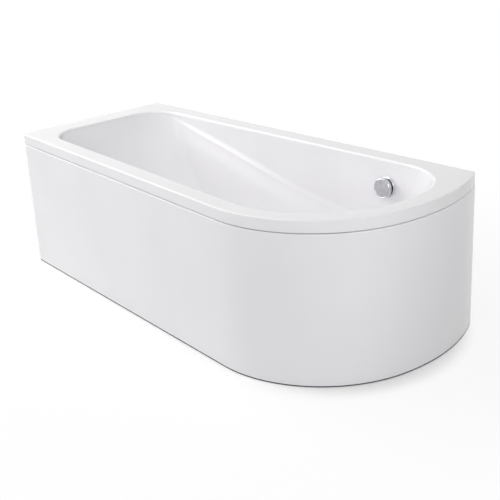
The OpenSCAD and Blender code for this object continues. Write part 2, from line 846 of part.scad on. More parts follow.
// Waste: flange, gaskets, body, plug
gasket = 1.5;
floor_gasket_height = 2;
flange_height = 2.5;
flange_bore = 42;
spigot_d = waste_hole - 4;
z_seat = z_floor - waste_recess;
z_flange = z_seat + gasket;
z_body = z_under - floor_gasket_height;
spigot_grip = 12;
hub_d = 14;
spoke_width = 4;
spider_height = 6;
body_d = 58;
body_height = 46;
body_wall = 4;
body_rim = 4;
body_cavity = 44;
outlet_d = 48;
outlet_bore = 36;
outlet_length = 14;
z_outlet = z_body - body_height - outlet_length;
z_pipe = z_body - 28;
inlet_reach = 58;
inlet_d = pipe_diameter + 8;
inlet_bore = pipe_diameter - 4;

module at_waste() {
    translate([waste_c.x, waste_c.y, 0]) children();
}

module ring(outer, inner, height) {
    difference() {
        cylinder(d = outer, h = height);
        translate([0, 0, -past]) cylinder(d = inner, h = height + 2 * past);
    }
}

module waste_flange() {
    spigot = z_flange - z_body + spigot_grip;
    stem_bore = stem_diameter + 2 * run_clear;
    color("silver") at_waste() translate([0, 0, z_flange]) difference() {
        union() {
            ring(flange_diameter, flange_bore, flange_height);
            translate([0, 0, -spigot]) ring(spigot_d, flange_bore, spigot + past);
            translate([0, 0, -spigot]) cylinder(d = hub_d, h = spider_height * 2);
            translate([0, 0, -spigot]) intersection() {
                cylinder(d = spigot_d - 1, h = spider_height);
                for (a = [0, 90]) rotate([0, 0, a]) translate([-spigot_d, -spoke_width / 2, 0])
                    cube([2 * spigot_d, spoke_width, spider_height]);
            }
        }
        translate([0, 0, -spigot - past]) cylinder(d = stem_bore, h = 2 * (spider_height + past));
    }
}

module flange_gasket() {
    color("dimgray") at_waste() translate([0, 0, z_seat]) ring(flange_diameter, waste_hole, gasket);
}

module floor_gasket() {
    color("dimgray") at_waste() translate([0, 0, z_body])
        ring(flange_diameter, waste_hole, floor_gasket_height);
}

module at_inlet(y) {
    translate([0, y, z_pipe]) rotate([-90, 0, 0]) children();
}

module waste_body() {
    color("white") at_waste() difference() {
        union() {
            translate([0, 0, z_body - body_rim]) cylinder(d = flange_diameter + 4, h = body_rim);
            translate([0, 0, z_body - body_height]) cylinder(d = body_d, h = body_height);
            translate([0, 0, z_outlet]) cylinder(d = outlet_d, h = outlet_length + past);
            at_inlet(0) cylinder(d = inlet_d, h = inlet_reach);
        }
        translate([0, 0, z_body - spigot_grip - past])
            cylinder(d = spigot_d + hole_clear, h = spigot_grip + 2 * past);
        translate([0, 0, z_body - body_height + body_wall]) cylinder(d = body_cavity, h = body_height);
        translate([0, 0, z_outlet - past]) cylinder(d = outlet_bore, h = outlet_length + 2 * body_wall);
        at_inlet(0) cylinder(d = inlet_bore, h = inlet_reach + past);
        at_inlet(inlet_reach - pipe_grip) cylinder(d = pipe_diameter + hole_clear, h = pipe_grip + past);
    }
}

plug_height = 5;
seal_height = 2;
seal_gap = 0.2;
seal_d = plug_diameter - 8;
boss_d = flange_bore - 6;
boss_height = 6;
z_plug = z_flange + flange_height + seal_gap + seal_height;
stem_length = 30;

// Domed cap, a boss that centres the seal, and the stem
module plug() {
    r = plug_diameter / 2;
    dome = (r * r + plug_height * plug_height / 4) / plug_height;
    color("silver") at_waste() translate([0, 0, z_plug]) union() {
        cylinder(r = r, h = plug_height / 2);
        intersection() {
            translate([0, 0, plug_height - dome]) sphere(dome, $fn = 200);
            translate([0, 0, plug_height / 2]) cylinder(r = r, h = plug_height);
        }
        translate([0, 0, -seal_height - boss_height]) cylinder(d = boss_d, h = seal_height + boss_height);
        translate([0, 0, -seal_height - boss_height - stem_length])
            cylinder(d = stem_diameter, h = stem_length + past, $fn = 48);
    }
}

module plug_seal() {
    color("black") at_waste() translate([0, 0, z_plug - seal_height])
        ring(seal_d, boss_d + screw_play, seal_height);
}

// Trap: a U bend under the waste, then an elbow to a socket that points at the room wall
trap_wall = 3;
trap_collar = 4;
trap_neck = 7;
z_bend = z_outlet - trap_collar - trap_neck;
elbow_bend = 24;
outlet_z = z_bend + elbow_bend;
socket_d = outlet_pipe + 8;
socket_length = 34;
socket_depth = 25;

module pipe_bend_run(bend, angle, outer, inner) {
    rotate([90, 0, 0]) rotate_extrude(angle = angle) translate([bend, 0]) difference() {
        circle(d = outer);
        circle(d = inner);
    }
}

// The outlet's frame: Z points out of the socket, from the elbow's end
module at_outlet() {
    at_waste() translate([-2 * trap_bend, elbow_bend, outlet_z]) rotate([-90, 0, 0]) children();
}

module trap() {
    inner = trap_diameter - 2 * trap_wall;
    color("white") at_waste() {
        translate([0, 0, z_bend]) ring(trap_diameter, inner, trap_neck);
        translate([0, 0, z_outlet - trap_collar]) ring(outlet_d - 1, inner, trap_collar);
        translate([-trap_bend, 0, z_bend]) mirror([0, 0, 1])
            pipe_bend_run(trap_bend, 180, trap_diameter, inner);
        translate([-2 * trap_bend, elbow_bend, z_bend]) rotate([0, 0, -90])
            pipe_bend_run(elbow_bend, 90, trap_diameter, inner);
    }
    color("white") at_outlet() difference() {
        cylinder(d = socket_d, h = socket_length);
        translate([0, 0, -past]) cylinder(d = inner, h = socket_length);
        translate([0, 0, socket_length - socket_depth])
            cylinder(d = outlet_pipe + 2 * hole_clear, h = socket_depth + past);
    }
}

// A ribbed nut: its lip is at z = 0, its thread above
nut_lip = 3.5;
nut_gap = 0.5;
nut_wall = 4;
rib_depth = 3;
rib_width = 4;

module ribbed_nut(inner, lip, height) {
    outer = inner + 2 * nut_wall;
    difference() {
        union() {
            cylinder(d = outer - rib_depth, h = nut_lip + height);
            for (a = [0:30:330]) rotate([0, 0, a]) translate([outer / 2 - rib_depth, -rib_width / 2, 0])
                cube([rib_depth, rib_width, nut_lip + height]);
        }
        translate([0, 0, -past]) cylinder(d = lip + 2 * nut_gap, h = nut_lip + 2 * past);
        translate([0, 0, nut_lip]) cylinder(d = inner + hole_clear, h = height + past);
    }
}

trap_thread = 16;
outlet_thread = 16;
pipe_thread = 14;

module trap_nut() {
    color("white") at_waste() translate([0, 0, z_outlet - trap_collar - nut_lip])
        ribbed_nut(outlet_d, trap_diameter, trap_thread);
}

module outlet_nut() {
    color("white") at_outlet() translate([0, 0, socket_length + nut_lip + nut_gap]) rotate([180, 0, 0])
        ribbed_nut(socket_d, outlet_pipe, outlet_thread);
}

// Overflow
skin = shell_wall * cos(wall_lean);
rosette_height = 5;
overflow_gasket_height = 3;
drum_d = overflow_hole + 6;
drum_depth = 36;
body_plate = 4;
z_plate = -skin - overflow_gasket_height;
spigot_at = z_plate - body_plate - pipe_diameter / 2 - 2;
pipe_grip = 14;
spigot_drop = drum_d / 2 + 22;
pipe_wall = 2;
pipe_bend = 46;
drum_wall = 3;
water_hole = 9;
rosette_step = 2;
rosette_dish = 14;

module overflow_rosette() {
    r = rosette_diameter / 2;
    hub = spindle_diameter / 2 + 3;
    floor_z = rosette_height - rosette_step;
    hub_height = body_plate - z_plate + past;
    color("silver") at_overflow() difference() {
        union() {
            rotate_extrude() polygon([
                [0, 0], [r - 1, 0], [r, 1], [r, rosette_step], [r - 3, rosette_height],
                [r - rosette_dish + 2, rosette_height], [r - rosette_dish, floor_z], [0, floor_z]
            ]);
            translate([0, 0, z_plate - body_plate]) cylinder(r = hub, h = hub_height);
        }
        translate([0, 0, z_plate - body_plate - past])
            cylinder(d = spindle_diameter + 2 * run_clear, h = hub_height + rosette_height + past);
        for (a = [45:90:315]) rotate([0, 0, a]) translate([(hub + r - rosette_dish) / 2 + 1, 0, -past])
            cylinder(d = water_hole, h = rosette_height + 2 * past, $fn = 32);
    }
}

knob_from = rosette_height + knob_gap;

// Hollow cap with a crowned rim and a dished face, open at the back round its hub
knob_wall = 3;
knob_dish = 1.2;
knob_roof = knob_height - knob_dish - knob_wall;

module overflow_knob() {
    r = knob_diameter / 2;
    h = knob_height;
    hub = spindle_diameter / 2 + 4;
    face = h - knob_dish;
    color("silver") at_overflow() translate([0, 0, knob_from]) difference() {
        rotate_extrude() polygon([
            [0, 0], [hub, 0], [hub, knob_roof], [r - knob_wall, knob_roof], [r - knob_wall, 1],
            [r - 1.5, 0], [r, 1.5], [r, h - 4], [r - 1.2, h - 1.2], [r - 4, h], [r - 7, h - 0.4],
            [r - 8, face], [0, face]
        ]);
        translate([0, 0, -past]) cylinder(d = spindle_diameter, h = knob_roof + past);
    }
}

// The spindle ends in a collar and a finger that pulls the wire
collar_height = 4;
collar_gap = 4;
finger_width = 6;

module overflow_spindle() {
    from = z_plate - body_plate - collar_gap - collar_height;
    color("silver") at_overflow() translate([0, 0, from]) union() {
        cylinder(d = spindle_diameter, h = knob_from + knob_roof - from);
        cylinder(d = spindle_diameter + 8, h = collar_height);
        translate([0, -finger_width / 2, 0]) cube([spindle_diameter + 5, finger_width, collar_height]);
    }
}

module overflow_gasket() {
    color("dimgray") at_overflow() translate([0, 0, z_plate])
        ring(rosette_diameter - 2, overflow_hole, overflow_gasket_height);
}

// The spigot and the pipe stand upright behind the leaning drum
spigot_y = overflow_at.y - spigot_at * cos(wall_lean);
spigot_z = overflow_at.z + spigot_at * sin(wall_lean);
spigot_end = spigot_z - spigot_drop;

module at_spigot(z) {
    translate([waste_c.x, spigot_y, z]) children();
}

module overflow_body() {
    color("white") difference() {
        union() {
            at_overflow() translate([0, 0, z_plate - body_plate])
                cylinder(d = rosette_diameter, h = body_plate);
            at_overflow() translate([0, 0, z_plate - drum_depth]) cylinder(d = drum_d, h = drum_depth);
            at_spigot(spigot_end) cylinder(d = inlet_d, h = spigot_drop);
        }
        at_overflow() translate([0, 0, z_plate - drum_depth + drum_wall])
            cylinder(d = drum_d - 2 * drum_wall, h = drum_depth);
        at_spigot(spigot_end - past) cylinder(d = inlet_bore, h = spigot_drop);
        at_spigot(spigot_end - past) cylinder(d = pipe_diameter + hole_clear, h = pipe_grip + past);
    }
}

module overflow_pipe() {
    bore = pipe_diameter - 2 * pipe_wall;
    top = spigot_end + pipe_grip - past;
    end_y = waste_c.y + inlet_reach - pipe_grip + past;
    bend_y = spigot_y - pipe_bend;
    bend_z = z_pipe + pipe_bend;
    color("white") {
        at_spigot(bend_z) ring(pipe_diameter, bore, top - bend_z);
        translate([waste_c.x, bend_y, bend_z]) rotate([0, 90, 0]) rotate_extrude(angle = 90)
            translate([pipe_bend, 0]) difference() {
                circle(d = pipe_diameter);
                circle(d = bore);
            }
        translate([waste_c.x, end_y, z_pipe]) rotate([-90, 0, 0])
            ring(pipe_diameter, bore, bend_y - end_y);
    }
}

module pipe_nuts() {
    color("white") {
        at_spigot(spigot_end - nut_lip - nut_gap) ribbed_nut(inlet_d, pipe_diameter, pipe_thread);
        translate([waste_c.x, waste_c.y + inlet_reach + nut_lip + nut_gap, z_pipe]) rotate([90, 0, 0])
            ribbed_nut(inlet_d, pipe_diameter, pipe_thread);
    }
}

tub_shell();
baseboard();
front_rail();
back_rail();
head_rail();
curved_rail();
front_panel();
panel_clips();
clip_screws();
floor_batten();
floor_blocks();
channel_head();
channel_tap();
hat_bracket();
frame_screws();
lock_nuts();
stud_head_wall();
stud_head_front();
stud_tap_wall();
stud_tap_front();
stud_middle();
pad_head_wall();
pad_head_front();
pad_tap_wall();
pad_tap_front();
pad_middle();
wall_brackets();
bracket_screws();
waste_flange();
flange_gasket();
floor_gasket();
waste_body();
plug();
plug_seal();
trap();
trap_nut();
outlet_nut();
overflow_knob();
overflow_spindle();
overflow_rosette();
overflow_gasket();
overflow_body();
overflow_pipe();
pipe_nuts();
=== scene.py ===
"""Looks of a shower bath with a curved tap end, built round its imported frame. Lengths are in metres."""

import logging
import math
from collections.abc import Callable, Sequence
from dataclasses import dataclass
from enum import Enum, IntEnum

import bmesh
import bpy
import numpy as np
from mathutils import Matrix, Vector


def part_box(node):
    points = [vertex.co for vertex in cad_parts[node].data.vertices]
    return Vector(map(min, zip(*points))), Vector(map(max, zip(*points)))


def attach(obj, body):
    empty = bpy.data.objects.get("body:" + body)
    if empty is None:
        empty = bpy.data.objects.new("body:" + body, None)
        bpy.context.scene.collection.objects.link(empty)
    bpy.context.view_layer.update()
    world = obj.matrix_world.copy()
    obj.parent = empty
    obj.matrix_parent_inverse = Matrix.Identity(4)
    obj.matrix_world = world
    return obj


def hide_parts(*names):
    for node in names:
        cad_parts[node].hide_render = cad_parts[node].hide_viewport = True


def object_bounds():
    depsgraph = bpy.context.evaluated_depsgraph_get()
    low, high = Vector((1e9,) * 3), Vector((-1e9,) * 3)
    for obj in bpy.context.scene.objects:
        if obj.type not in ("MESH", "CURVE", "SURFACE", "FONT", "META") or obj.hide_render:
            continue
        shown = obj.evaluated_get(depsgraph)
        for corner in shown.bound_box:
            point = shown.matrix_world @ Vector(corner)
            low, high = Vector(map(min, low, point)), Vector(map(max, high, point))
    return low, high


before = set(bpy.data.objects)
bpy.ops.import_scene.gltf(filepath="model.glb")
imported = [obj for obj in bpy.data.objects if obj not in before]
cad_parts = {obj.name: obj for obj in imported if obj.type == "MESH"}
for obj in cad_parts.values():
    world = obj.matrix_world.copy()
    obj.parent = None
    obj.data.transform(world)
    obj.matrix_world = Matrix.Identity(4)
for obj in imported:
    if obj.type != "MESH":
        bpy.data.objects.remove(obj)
cad_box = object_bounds()

LOG = logging.getLogger("bath")
MM = 0.001
MERGE = 1e-5
QUARTER = math.pi / 2
WHITE = (1, 1, 1, 1)
SIDE_SHARE = 0.48
SRGB_TOE, SRGB_SLOPE, SRGB_SHIFT, SRGB_POWER = 0.04045, 12.92, 0.055, 2.4


class Stretch(IntEnum):
    """The stretches of the rim, in order round the basin from the head end."""

    HEAD = 0
    HEAD_FRONT = 1
    FRONT = 2
    KNEE = 3
    POINT = 4
    BACK_CORNER = 5
    BACK = 6
    HEAD_BACK = 7


class Slot(Enum):
    """The material slots of the record."""

    ACRYLIC = "acrylic_white"
    PANEL = "panel_white"
    TIMBER = "timber"
    CHIPBOARD = "chipboard"
    ZINC = "zinc_steel"
    CHROME = "chrome"
    PAD = "pad_plastic"
    CLIP = "clip_plastic"
    PIPE = "pipe_plastic"
    RUBBER = "rubber_black"


# -------------------------------- shader maths


class Wire:
    """An output of a shader node that takes plain arithmetic."""

    def __init__(self, graph: "Graph", socket: bpy.types.NodeSocket) -> None:
        """Keeps the socket and the graph that new nodes go into."""
        self.graph = graph
        self.socket = socket

    def _math(self, operation: str, first: object, second: object) -> "Wire":
        """A Math node on two values, each a number or a wire."""
        return self.graph.node("ShaderNodeMath", {"operation": operation}, {0: first, 1: second})

    def __add__(self, other: object) -> "Wire":
        """Sum."""
        return self._math("ADD", self, other)

    def __sub__(self, other: object) -> "Wire":
        """Difference."""
        return self._math("SUBTRACT", self, other)

    def __rsub__(self, other: object) -> "Wire":
        """Difference, the other way round."""
        return self._math("SUBTRACT", other, self)

    def __mul__(self, other: object) -> "Wire":
        """Product."""
        return self._math("MULTIPLY", self, other)

    def larger(self, other: object) -> "Wire":
        """The larger of two values."""
        return self._math("MAXIMUM", self, other)

    def ramp(self, low: float, high: float, start: float = 0.0, end: float = 1.0) -> "Wire":
        """A soft step.

        Args:
            low: input at which the step starts.
            high: input at which it ends.
            start: output before the step.
            end: output after it.

        Returns:
            The stepped value.
        """
        return self.graph.node(
            "ShaderNodeMapRange",
            {"interpolation_type": "SMOOTHSTEP"},
            {"Value": self, "From Min": low, "From Max": high, "To Min": start, "To Max": end},
        )


class Graph:
    """The node tree of a material or a world, filled one node at a time."""

    def __init__(self, owner: bpy.types.ID) -> None:
        """Empties the tree.

        Args:
            owner: the material or the world.
        """
        owner.use_nodes = True
        self.tree = owner.node_tree
        self.tree.nodes.clear()

    def node(
        self,
        kind: str,
        settings: dict[str, object] | None = None,
        inputs: dict[object, object] | None = None,
        output: object = 0,
    ) -> Wire | None:
        """Adds a node.

        Args:
            kind: the node's type.
            settings: properties, set before the inputs.
            inputs: values or wires by input name or number.
            output: name or number of the output that is handed back.

        Returns:
            That output, or nothing for a node without one.
        """
        node = self.tree.nodes.new(kind)
        for key, value in (settings or {}).items():
            setattr(node, key, value)
        for key, value in (inputs or {}).items():
            if isinstance(value, Wire):
                self.tree.links.new(value.socket, node.inputs[key])
            else:
                node.inputs[key].default_value = value
        return Wire(self, node.outputs[output]) if node.outputs else None

    def place(self, stretch: Sequence[float] = (1, 1, 1)) -> Wire:
        """The point in the frame of the bath, in metres, times a factor for each axis."""
        point = self.node("ShaderNodeTexCoord", output="Object")
        return self.node("ShaderNodeVectorMath", {"operation": "MULTIPLY"}, {0: point, 1: stretch})

    def noise(self, point: Wire, scale: float, detail: float = 3.0, rough: float = 0.5) -> Wire:
        """Noise from 0 to 1, given its waves for each metre, its octaves and how strong the fine ones are."""
        wants = {"Vector": point, "Scale": scale, "Detail": detail, "Roughness": rough}
        return self.node("ShaderNodeTexNoise", inputs=wants)

    def cells(self, point: Wire, scale: float) -> Wire:
        """Cells that each have a tone of their own.

        Args:
            point: where they are read.
            scale: cells for each metre.

        Returns:
            The tone, from 0 to 1.
        """
        wants = {"Vector": point, "Scale": scale, "Randomness": 1.0}
        cell = self.node("ShaderNodeTexVoronoi", inputs=wants, output="Color")
        return self.node("ShaderNodeSeparateColor", inputs={"Color": cell})

    def blend(self, share: object, first: object, second: object) -> Wire:
        """The first colour with a share of the second one mixed in."""
        return self.node("ShaderNodeMix", {"data_type": "RGBA"}, {0: share, 6: first, 7: second}, 2)

    def bump(self, height: Wire, strength: float, distance: float) -> Wire:
        """The normal of a height from 0 to 1, given how much of it shows and its depth in metres."""
        wants = {"Height": height, "Strength": strength, "Distance": distance}
        return self.node("ShaderNodeBump", inputs=wants)

    def shown(self) -> Wire:
        """Tells what is seen from what only lights.

        Returns:
            1 for rays from the camera, from a mirror image or through glass, and 0 for others.
        """
        rays = ("Is Camera Ray", "Is Glossy Ray", "Is Transmission Ray")
        camera, glossy, through = (self.node("ShaderNodeLightPath", output=ray) for ray in rays)
        return camera + glossy + through


def rgb(*levels: int) -> tuple[float, ...]:
    """A colour written as on screen, from 0 to 255, as linear light.

    Args:
        levels: red, green and blue.

    Returns:
        The linear colour, opaque.
    """
    shares = [level / 255 for level in levels]
    toe = [share / SRGB_SLOPE for share in shares]
    curve = [((share + SRGB_SHIFT) / (1 + SRGB_SHIFT)) ** SRGB_POWER for share in shares]
    return (*(low if s <= SRGB_TOE else high for s, low, high in zip(shares, toe, curve)), 1.0)


# -------------------------------- finishes


@dataclass(frozen=True)
class Finish:
    """A material that is made once and then shared.

    Its tuples hold what Graph.noise, Graph.place, Graph.bump or Wire.ramp takes.
    """

    name: str
    slot: Slot

    def material(self) -> bpy.types.Material:
        """Hands out the Blender material of this finish.

        Returns:
            The material, made at the first call.
        """
        made = bpy.data.materials.get(self.name)
        if made is None:
            made = bpy.data.materials.new(self.name)
            graph = Graph(made)
            shader = graph.node("ShaderNodeBsdfPrincipled", inputs=self.paint(graph))
            graph.node("ShaderNodeOutputMaterial", inputs={"Surface": shader})
        return made

    def paint(self, graph: Graph) -> dict[str, object]:
        """The shader's inputs, by name; each finish has its own."""
        raise NotImplementedError


@dataclass(frozen=True)
class Acrylic(Finish):
    """Cast acrylic: glossy, a touch wavy from the mould."""

    colour: tuple = rgb(247, 246, 248)
    shade: tuple = rgb(244, 243, 245)
    gloss: float = 0.21
    uneven: float = 0.06
    refraction: float = 1.49
    drift: tuple = (2.2, 2.0)
    tones: tuple = (0.35, 0.65)
    polish: tuple = (9.0, 4.0)
    waves: tuple = (26.0, 2.0, 0.4)
    coat: tuple = (0.2, 0.8, 0.08, 0.16)
    coat_roughness: float = 0.06
    relief: tuple = (0.25, 0.6 * MM)

    def paint(self, graph: Graph) -> dict[str, object]:
        """Slow tone drift, uneven polish and the faint waves of a drawn sheet.

        Args:
            graph: where the nodes go.

        Returns:
            The shader's inputs.
        """
        point = graph.place()
        drift, polish, waves = (graph.noise(point, *way) for way in (self.drift, self.polish, self.waves))
        return {
            "Base Color": graph.blend(drift.ramp(*self.tones), self.colour, self.shade),
            "Roughness": polish * self.uneven + (self.gloss - self.uneven / 2),
            "IOR": self.refraction,
            "Coat Weight": polish.ramp(*self.coat),
            "Coat Roughness": self.coat_roughness,
            "Normal": graph.bump(waves, *self.relief),
        }


@dataclass(frozen=True)
class Sprayed(Finish):
    """Resin and chopped glass sprayed on the back of the acrylic."""

    colour: tuple = rgb(214, 212, 200)
    shade: tuple = rgb(190, 188, 174)
    lumps: tuple = (70.0, 6.0, 0.65)
    fibres: float = 160.0
    stretch: tuple = (1, 9, 3)
    fibre_edge: tuple = (0.42, 0.62)
    fibre_height: float = 0.4
    gloss: tuple = (0.2, 0.8, 0.4, 0.75)
    relief: tuple = (0.9, 1.5 * MM)

    def paint(self, graph: Graph) -> dict[str, object]:
        """Lumpy, off-white, with short fibres that show through.

        Args:
            graph: where the nodes go.

        Returns:
            The shader's inputs.
        """
        lumps = graph.noise(graph.place(), *self.lumps)
        fibres = graph.noise(graph.place(self.stretch), self.fibres)
        return {
            "Base Color": graph.blend(fibres.ramp(*self.fibre_edge), self.colour, self.shade),
            "Roughness": lumps.ramp(*self.gloss),
            "Normal": graph.bump(lumps + fibres * self.fibre_height, *self.relief),
        }


@dataclass(frozen=True)
class Metal(Finish):
    """Bright metal, polished or brushed."""

    colour: tuple = rgb(206, 208, 212)
    shade: tuple = rgb(196, 198, 203)
    roughness: float = 0.07
    spread: float = 0.04
    wave: float = 0.1
    wave_depth: float = 0.05 * MM
    marks: tuple = (400.0, 4.0)
    cloud: tuple = (60.0, 2.0)
    tones: tuple = (0.3, 0.7)

    def paint(self, graph: Graph) -> dict[str, object]:
        """Faint polishing marks in tone, gloss and height.

        Args:
            graph: where the nodes go.

        Returns:
            The shader's inputs.
        """
        point = graph.place()
        marks, cloud = graph.noise(point, *self.marks), graph.noise(point, *self.cloud)
        return {
            "Base Color": graph.blend(cloud.ramp(*self.tones), self.colour, self.shade),
            "Metallic": 1.0,
            "Roughness": marks * self.spread + self.roughness,
            "Normal": graph.bump(marks, self.wave, self.wave_depth),
        }


@dataclass(frozen=True)
class Zinc(Finish):
    """Galvanised sheet steel with its crystals."""

    colour: tuple = rgb(196, 200, 204)
    dark: tuple = rgb(158, 164, 171)
    crystals: float = 130.0
    scratches: tuple = (40.0, 4.0)
    stretch: tuple = (1, 30, 30)
    roughness: float = 0.28
    crystal_spread: float = 0.18
    scratch_spread: float = 0.1
    relief: tuple = (0.2, 0.1 * MM)

    def paint(self, graph: Graph) -> dict[str, object]:
        """Crystals that differ in tone and gloss, with fine scratches.

        Args:
            graph: where the nodes go.

        Returns:
            The shader's inputs.
        """
        tone = graph.cells(graph.place(), self.crystals)
        marks = graph.noise(graph.place(self.stretch), *self.scratches)
        return {
            "Base Color": graph.blend(tone, self.colour, self.dark),
            "Metallic": 1.0,
            "Roughness": tone * self.crystal_spread + marks * self.scratch_spread + self.roughness,
            "Normal": graph.bump(marks, *self.relief),
        }


@dataclass(frozen=True)
class Timber(Finish):
    """Planed softwood with its grain along one axis."""

    grain: tuple = (1, 14, 14)
    early: tuple = rgb(216, 192, 154)
    late: tuple = rgb(182, 150, 108)
    pore: tuple = rgb(150, 118, 82)
    pore_stretch: int = 13
    pores: tuple = (9.0, 5.0)
    pore_share: tuple = (0.5, 0.75, 0.0, 0.35)
    late_from: tuple = (0.3, 0.95)
    ring_height: float = 0.4
    gloss: tuple = (0.3, 0.7, 0.62, 0.8)
    relief: tuple = (0.5, 0.3 * MM)

    def paint(self, graph: Graph) -> dict[str, object]:
        """Growth rings warped by noise, and pores along the grain.

        Args:
            graph: where the nodes go.

        Returns:
            The shader's inputs.
        """
        point = graph.place(self.grain)
        rings = graph.node(
            "ShaderNodeTexWave",
            {"wave_type": "RINGS", "rings_direction": "SPHERICAL"},
            {"Vector": point, "Scale": 6.0, "Distortion": 7.0, "Detail": 3.0, "Detail Scale": 1.2},
            "Fac",
        )
        pores = graph.noise(graph.place([self.pore_stretch * part for part in self.grain]), *self.pores)
        colour = graph.blend(rings.ramp(*self.late_from), self.early, self.late)
        return {
            "Base Color": graph.blend(pores.ramp(*self.pore_share), colour, self.pore),
            "Roughness": pores.ramp(*self.gloss),
            "Normal": graph.bump(pores + rings * self.ring_height, *self.relief),
        }


@dataclass(frozen=True)
class Chipboard(Finish):
    """Pressed wood flakes."""

    light: tuple = rgb(214, 184, 138)
    dark: tuple = rgb(160, 122, 78)
    glue: tuple = rgb(120, 88, 56)
    flakes: float = 190.0
    stretch: tuple = (1, 1.6, 3)
    dust: tuple = (420.0, 4.0)
    dust_height: float = 0.5
    glue_share: tuple = (0.5, 0.7, 0.0, 0.4)
    gloss: tuple = (0.3, 0.7, 0.7, 0.9)
    relief: tuple = (0.5, 0.4 * MM)

    def paint(self, graph: Graph) -> dict[str, object]:
        """Flakes of several tones with glue between them.

        Args:
            graph: where the nodes go.

        Returns:
            The shader's inputs.
        """
        tone = graph.cells(graph.place(self.stretch), self.flakes)
        dust = graph.noise(graph.place(), *self.dust)
        colour = graph.blend(tone, self.light, self.dark)
        return {
            "Base Color": graph.blend(dust.ramp(*self.glue_share), colour, self.glue),
            "Roughness": dust.ramp(*self.gloss),
            "Normal": graph.bump(tone + dust * self.dust_height, *self.relief),
        }


@dataclass(frozen=True)
class Plastic(Finish):
    """Moulded plastic with a fine grain and slight shading."""

    colour: tuple = rgb(236, 236, 234)
    shade: tuple = rgb(222, 222, 220)
    roughness: float = 0.38
    grain: float = 900.0
    flow: float = 24.0
    tones: tuple = (0.3, 0.7)
    spread: float = 0.16
    relief: tuple = (0.35, 0.08 * MM)

    def paint(self, graph: Graph) -> dict[str, object]:
        """Flow marks in tone, and the grain of the mould.

        Args:
            graph: where the nodes go.

        Returns:
            The shader's inputs.
        """
        point = graph.place()
        flow, grain = graph.noise(point, self.flow), graph.noise(point, self.grain)
        return {
            "Base Color": graph.blend(flow.ramp(*self.tones), self.colour, self.shade),
            "Roughness": grain * self.spread + (self.roughness - self.spread / 2),
            "Normal": graph.bump(grain, *self.relief),
        }


GLOSS = Acrylic("acrylic_gloss", Slot.ACRYLIC)
BACKING = Sprayed("acrylic_backing", Slot.ACRYLIC)
PANEL = Acrylic("panel_gloss", Slot.PANEL, rgb(246, 245, 247), rgb(243, 242, 245), 0.25)
CHROME = Metal("chrome_polished", Slot.CHROME)
SATIN = Metal("chrome_satin", Slot.CHROME, rgb(226, 227, 229), rgb(217, 219, 222), 0.24, 0.08, 0.25)
STEEL = Metal("steel_bright_zinc", Slot.ZINC, rgb(190, 192, 196), rgb(170, 172, 178), 0.22, 0.1, 0.3)
SHEET = Zinc("steel_galvanised", Slot.ZINC)
ALONG_X = Timber("timber_along", Slot.TIMBER)
ALONG_Y = Timber("timber_across", Slot.TIMBER, (14, 1, 14))
BOARD = Chipboard("chipboard_raw", Slot.CHIPBOARD)
PIPE = Plastic("pipe_white", Slot.PIPE)
NUT = Plastic("pipe_nut_grey", Slot.PIPE, rgb(176, 178, 180), rgb(160, 162, 165), 0.42)
CLIP = Plastic("clip_grey", Slot.CLIP, rgb(150, 153, 156), rgb(134, 137, 141), 0.45)
PAD = Plastic("pad_black", Slot.PAD, rgb(52, 53, 55), rgb(40, 41, 43), 0.5)
# painted shadow: the foot seal's dark grey stands in for the shade in the gap under the panel
SHADOW_SEAL = Plastic("panel_foot_shadow_seal", Slot.RUBBER, rgb(84, 84, 86), rgb(74, 74, 76), 0.6, 700.0)
RUBBER = Plastic("rubber_seal", Slot.RUBBER, rgb(34, 34, 36), rgb(26, 26, 28), 0.62, 500.0)


# -------------------------------- mesh tools


def smooth(share: object) -> np.ndarray:
    """An S curve from 0 to 1 that stays level beyond either end."""
    share = np.clip(share, 0, 1)
    return share * share * (3 - 2 * share)


def mix(first: object, second: object, share: object) -> object:
    """The value at a share of the way between two values."""
    return first + (second - first) * share


def steps_to(end: float, count: int) -> np.ndarray:
    """Even steps from 0 that stop one short of the end."""
    return np.linspace(0, end, count, endpoint=False)


def coords(*parts: object) -> np.ndarray:
    """Points from their coordinates; a single number holds for all of them."""
    return np.stack(np.broadcast_arrays(*parts), -1)


def raised(flat: np.ndarray, height: object) -> np.ndarray:
    """Plan points with a height."""
    return coords(flat[..., 0], flat[..., 1], height)


def oval(along: object, across: object, angle: object) -> np.ndarray:
    """The point of an ellipse at an angle in radians."""
    return coords(along * np.cos(angle), across * np.sin(angle))


def polar(angle: object) -> np.ndarray:
    """The point of the unit circle at an angle in radians."""
    return oval(1, 1, angle)


def placed(name: str, data: bpy.types.ID) -> bpy.types.Object:
    """Puts a new object into the scene.

    Args:
        name: its name.
        data: its mesh, lamp or camera.

    Returns:
        The object.
    """
    obj = bpy.data.objects.new(name, data)
    bpy.context.scene.collection.objects.link(obj)
    return obj


def dress(obj: bpy.types.Object, body: str, *finishes: Finish) -> bpy.types.Object:
    """Gives a new piece its finishes and the body it rides on.

    Args:
        obj: the piece.
        body: name of the body.
        finishes: one finish for each material slot.

    Returns:
        The same piece.
    """
    for finish in finishes:
        obj.data.materials.append(finish.material())
    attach(obj, body)
    LOG.info("%s: %d faces on %s", obj.name, len(obj.data.polygons), body)
    return obj


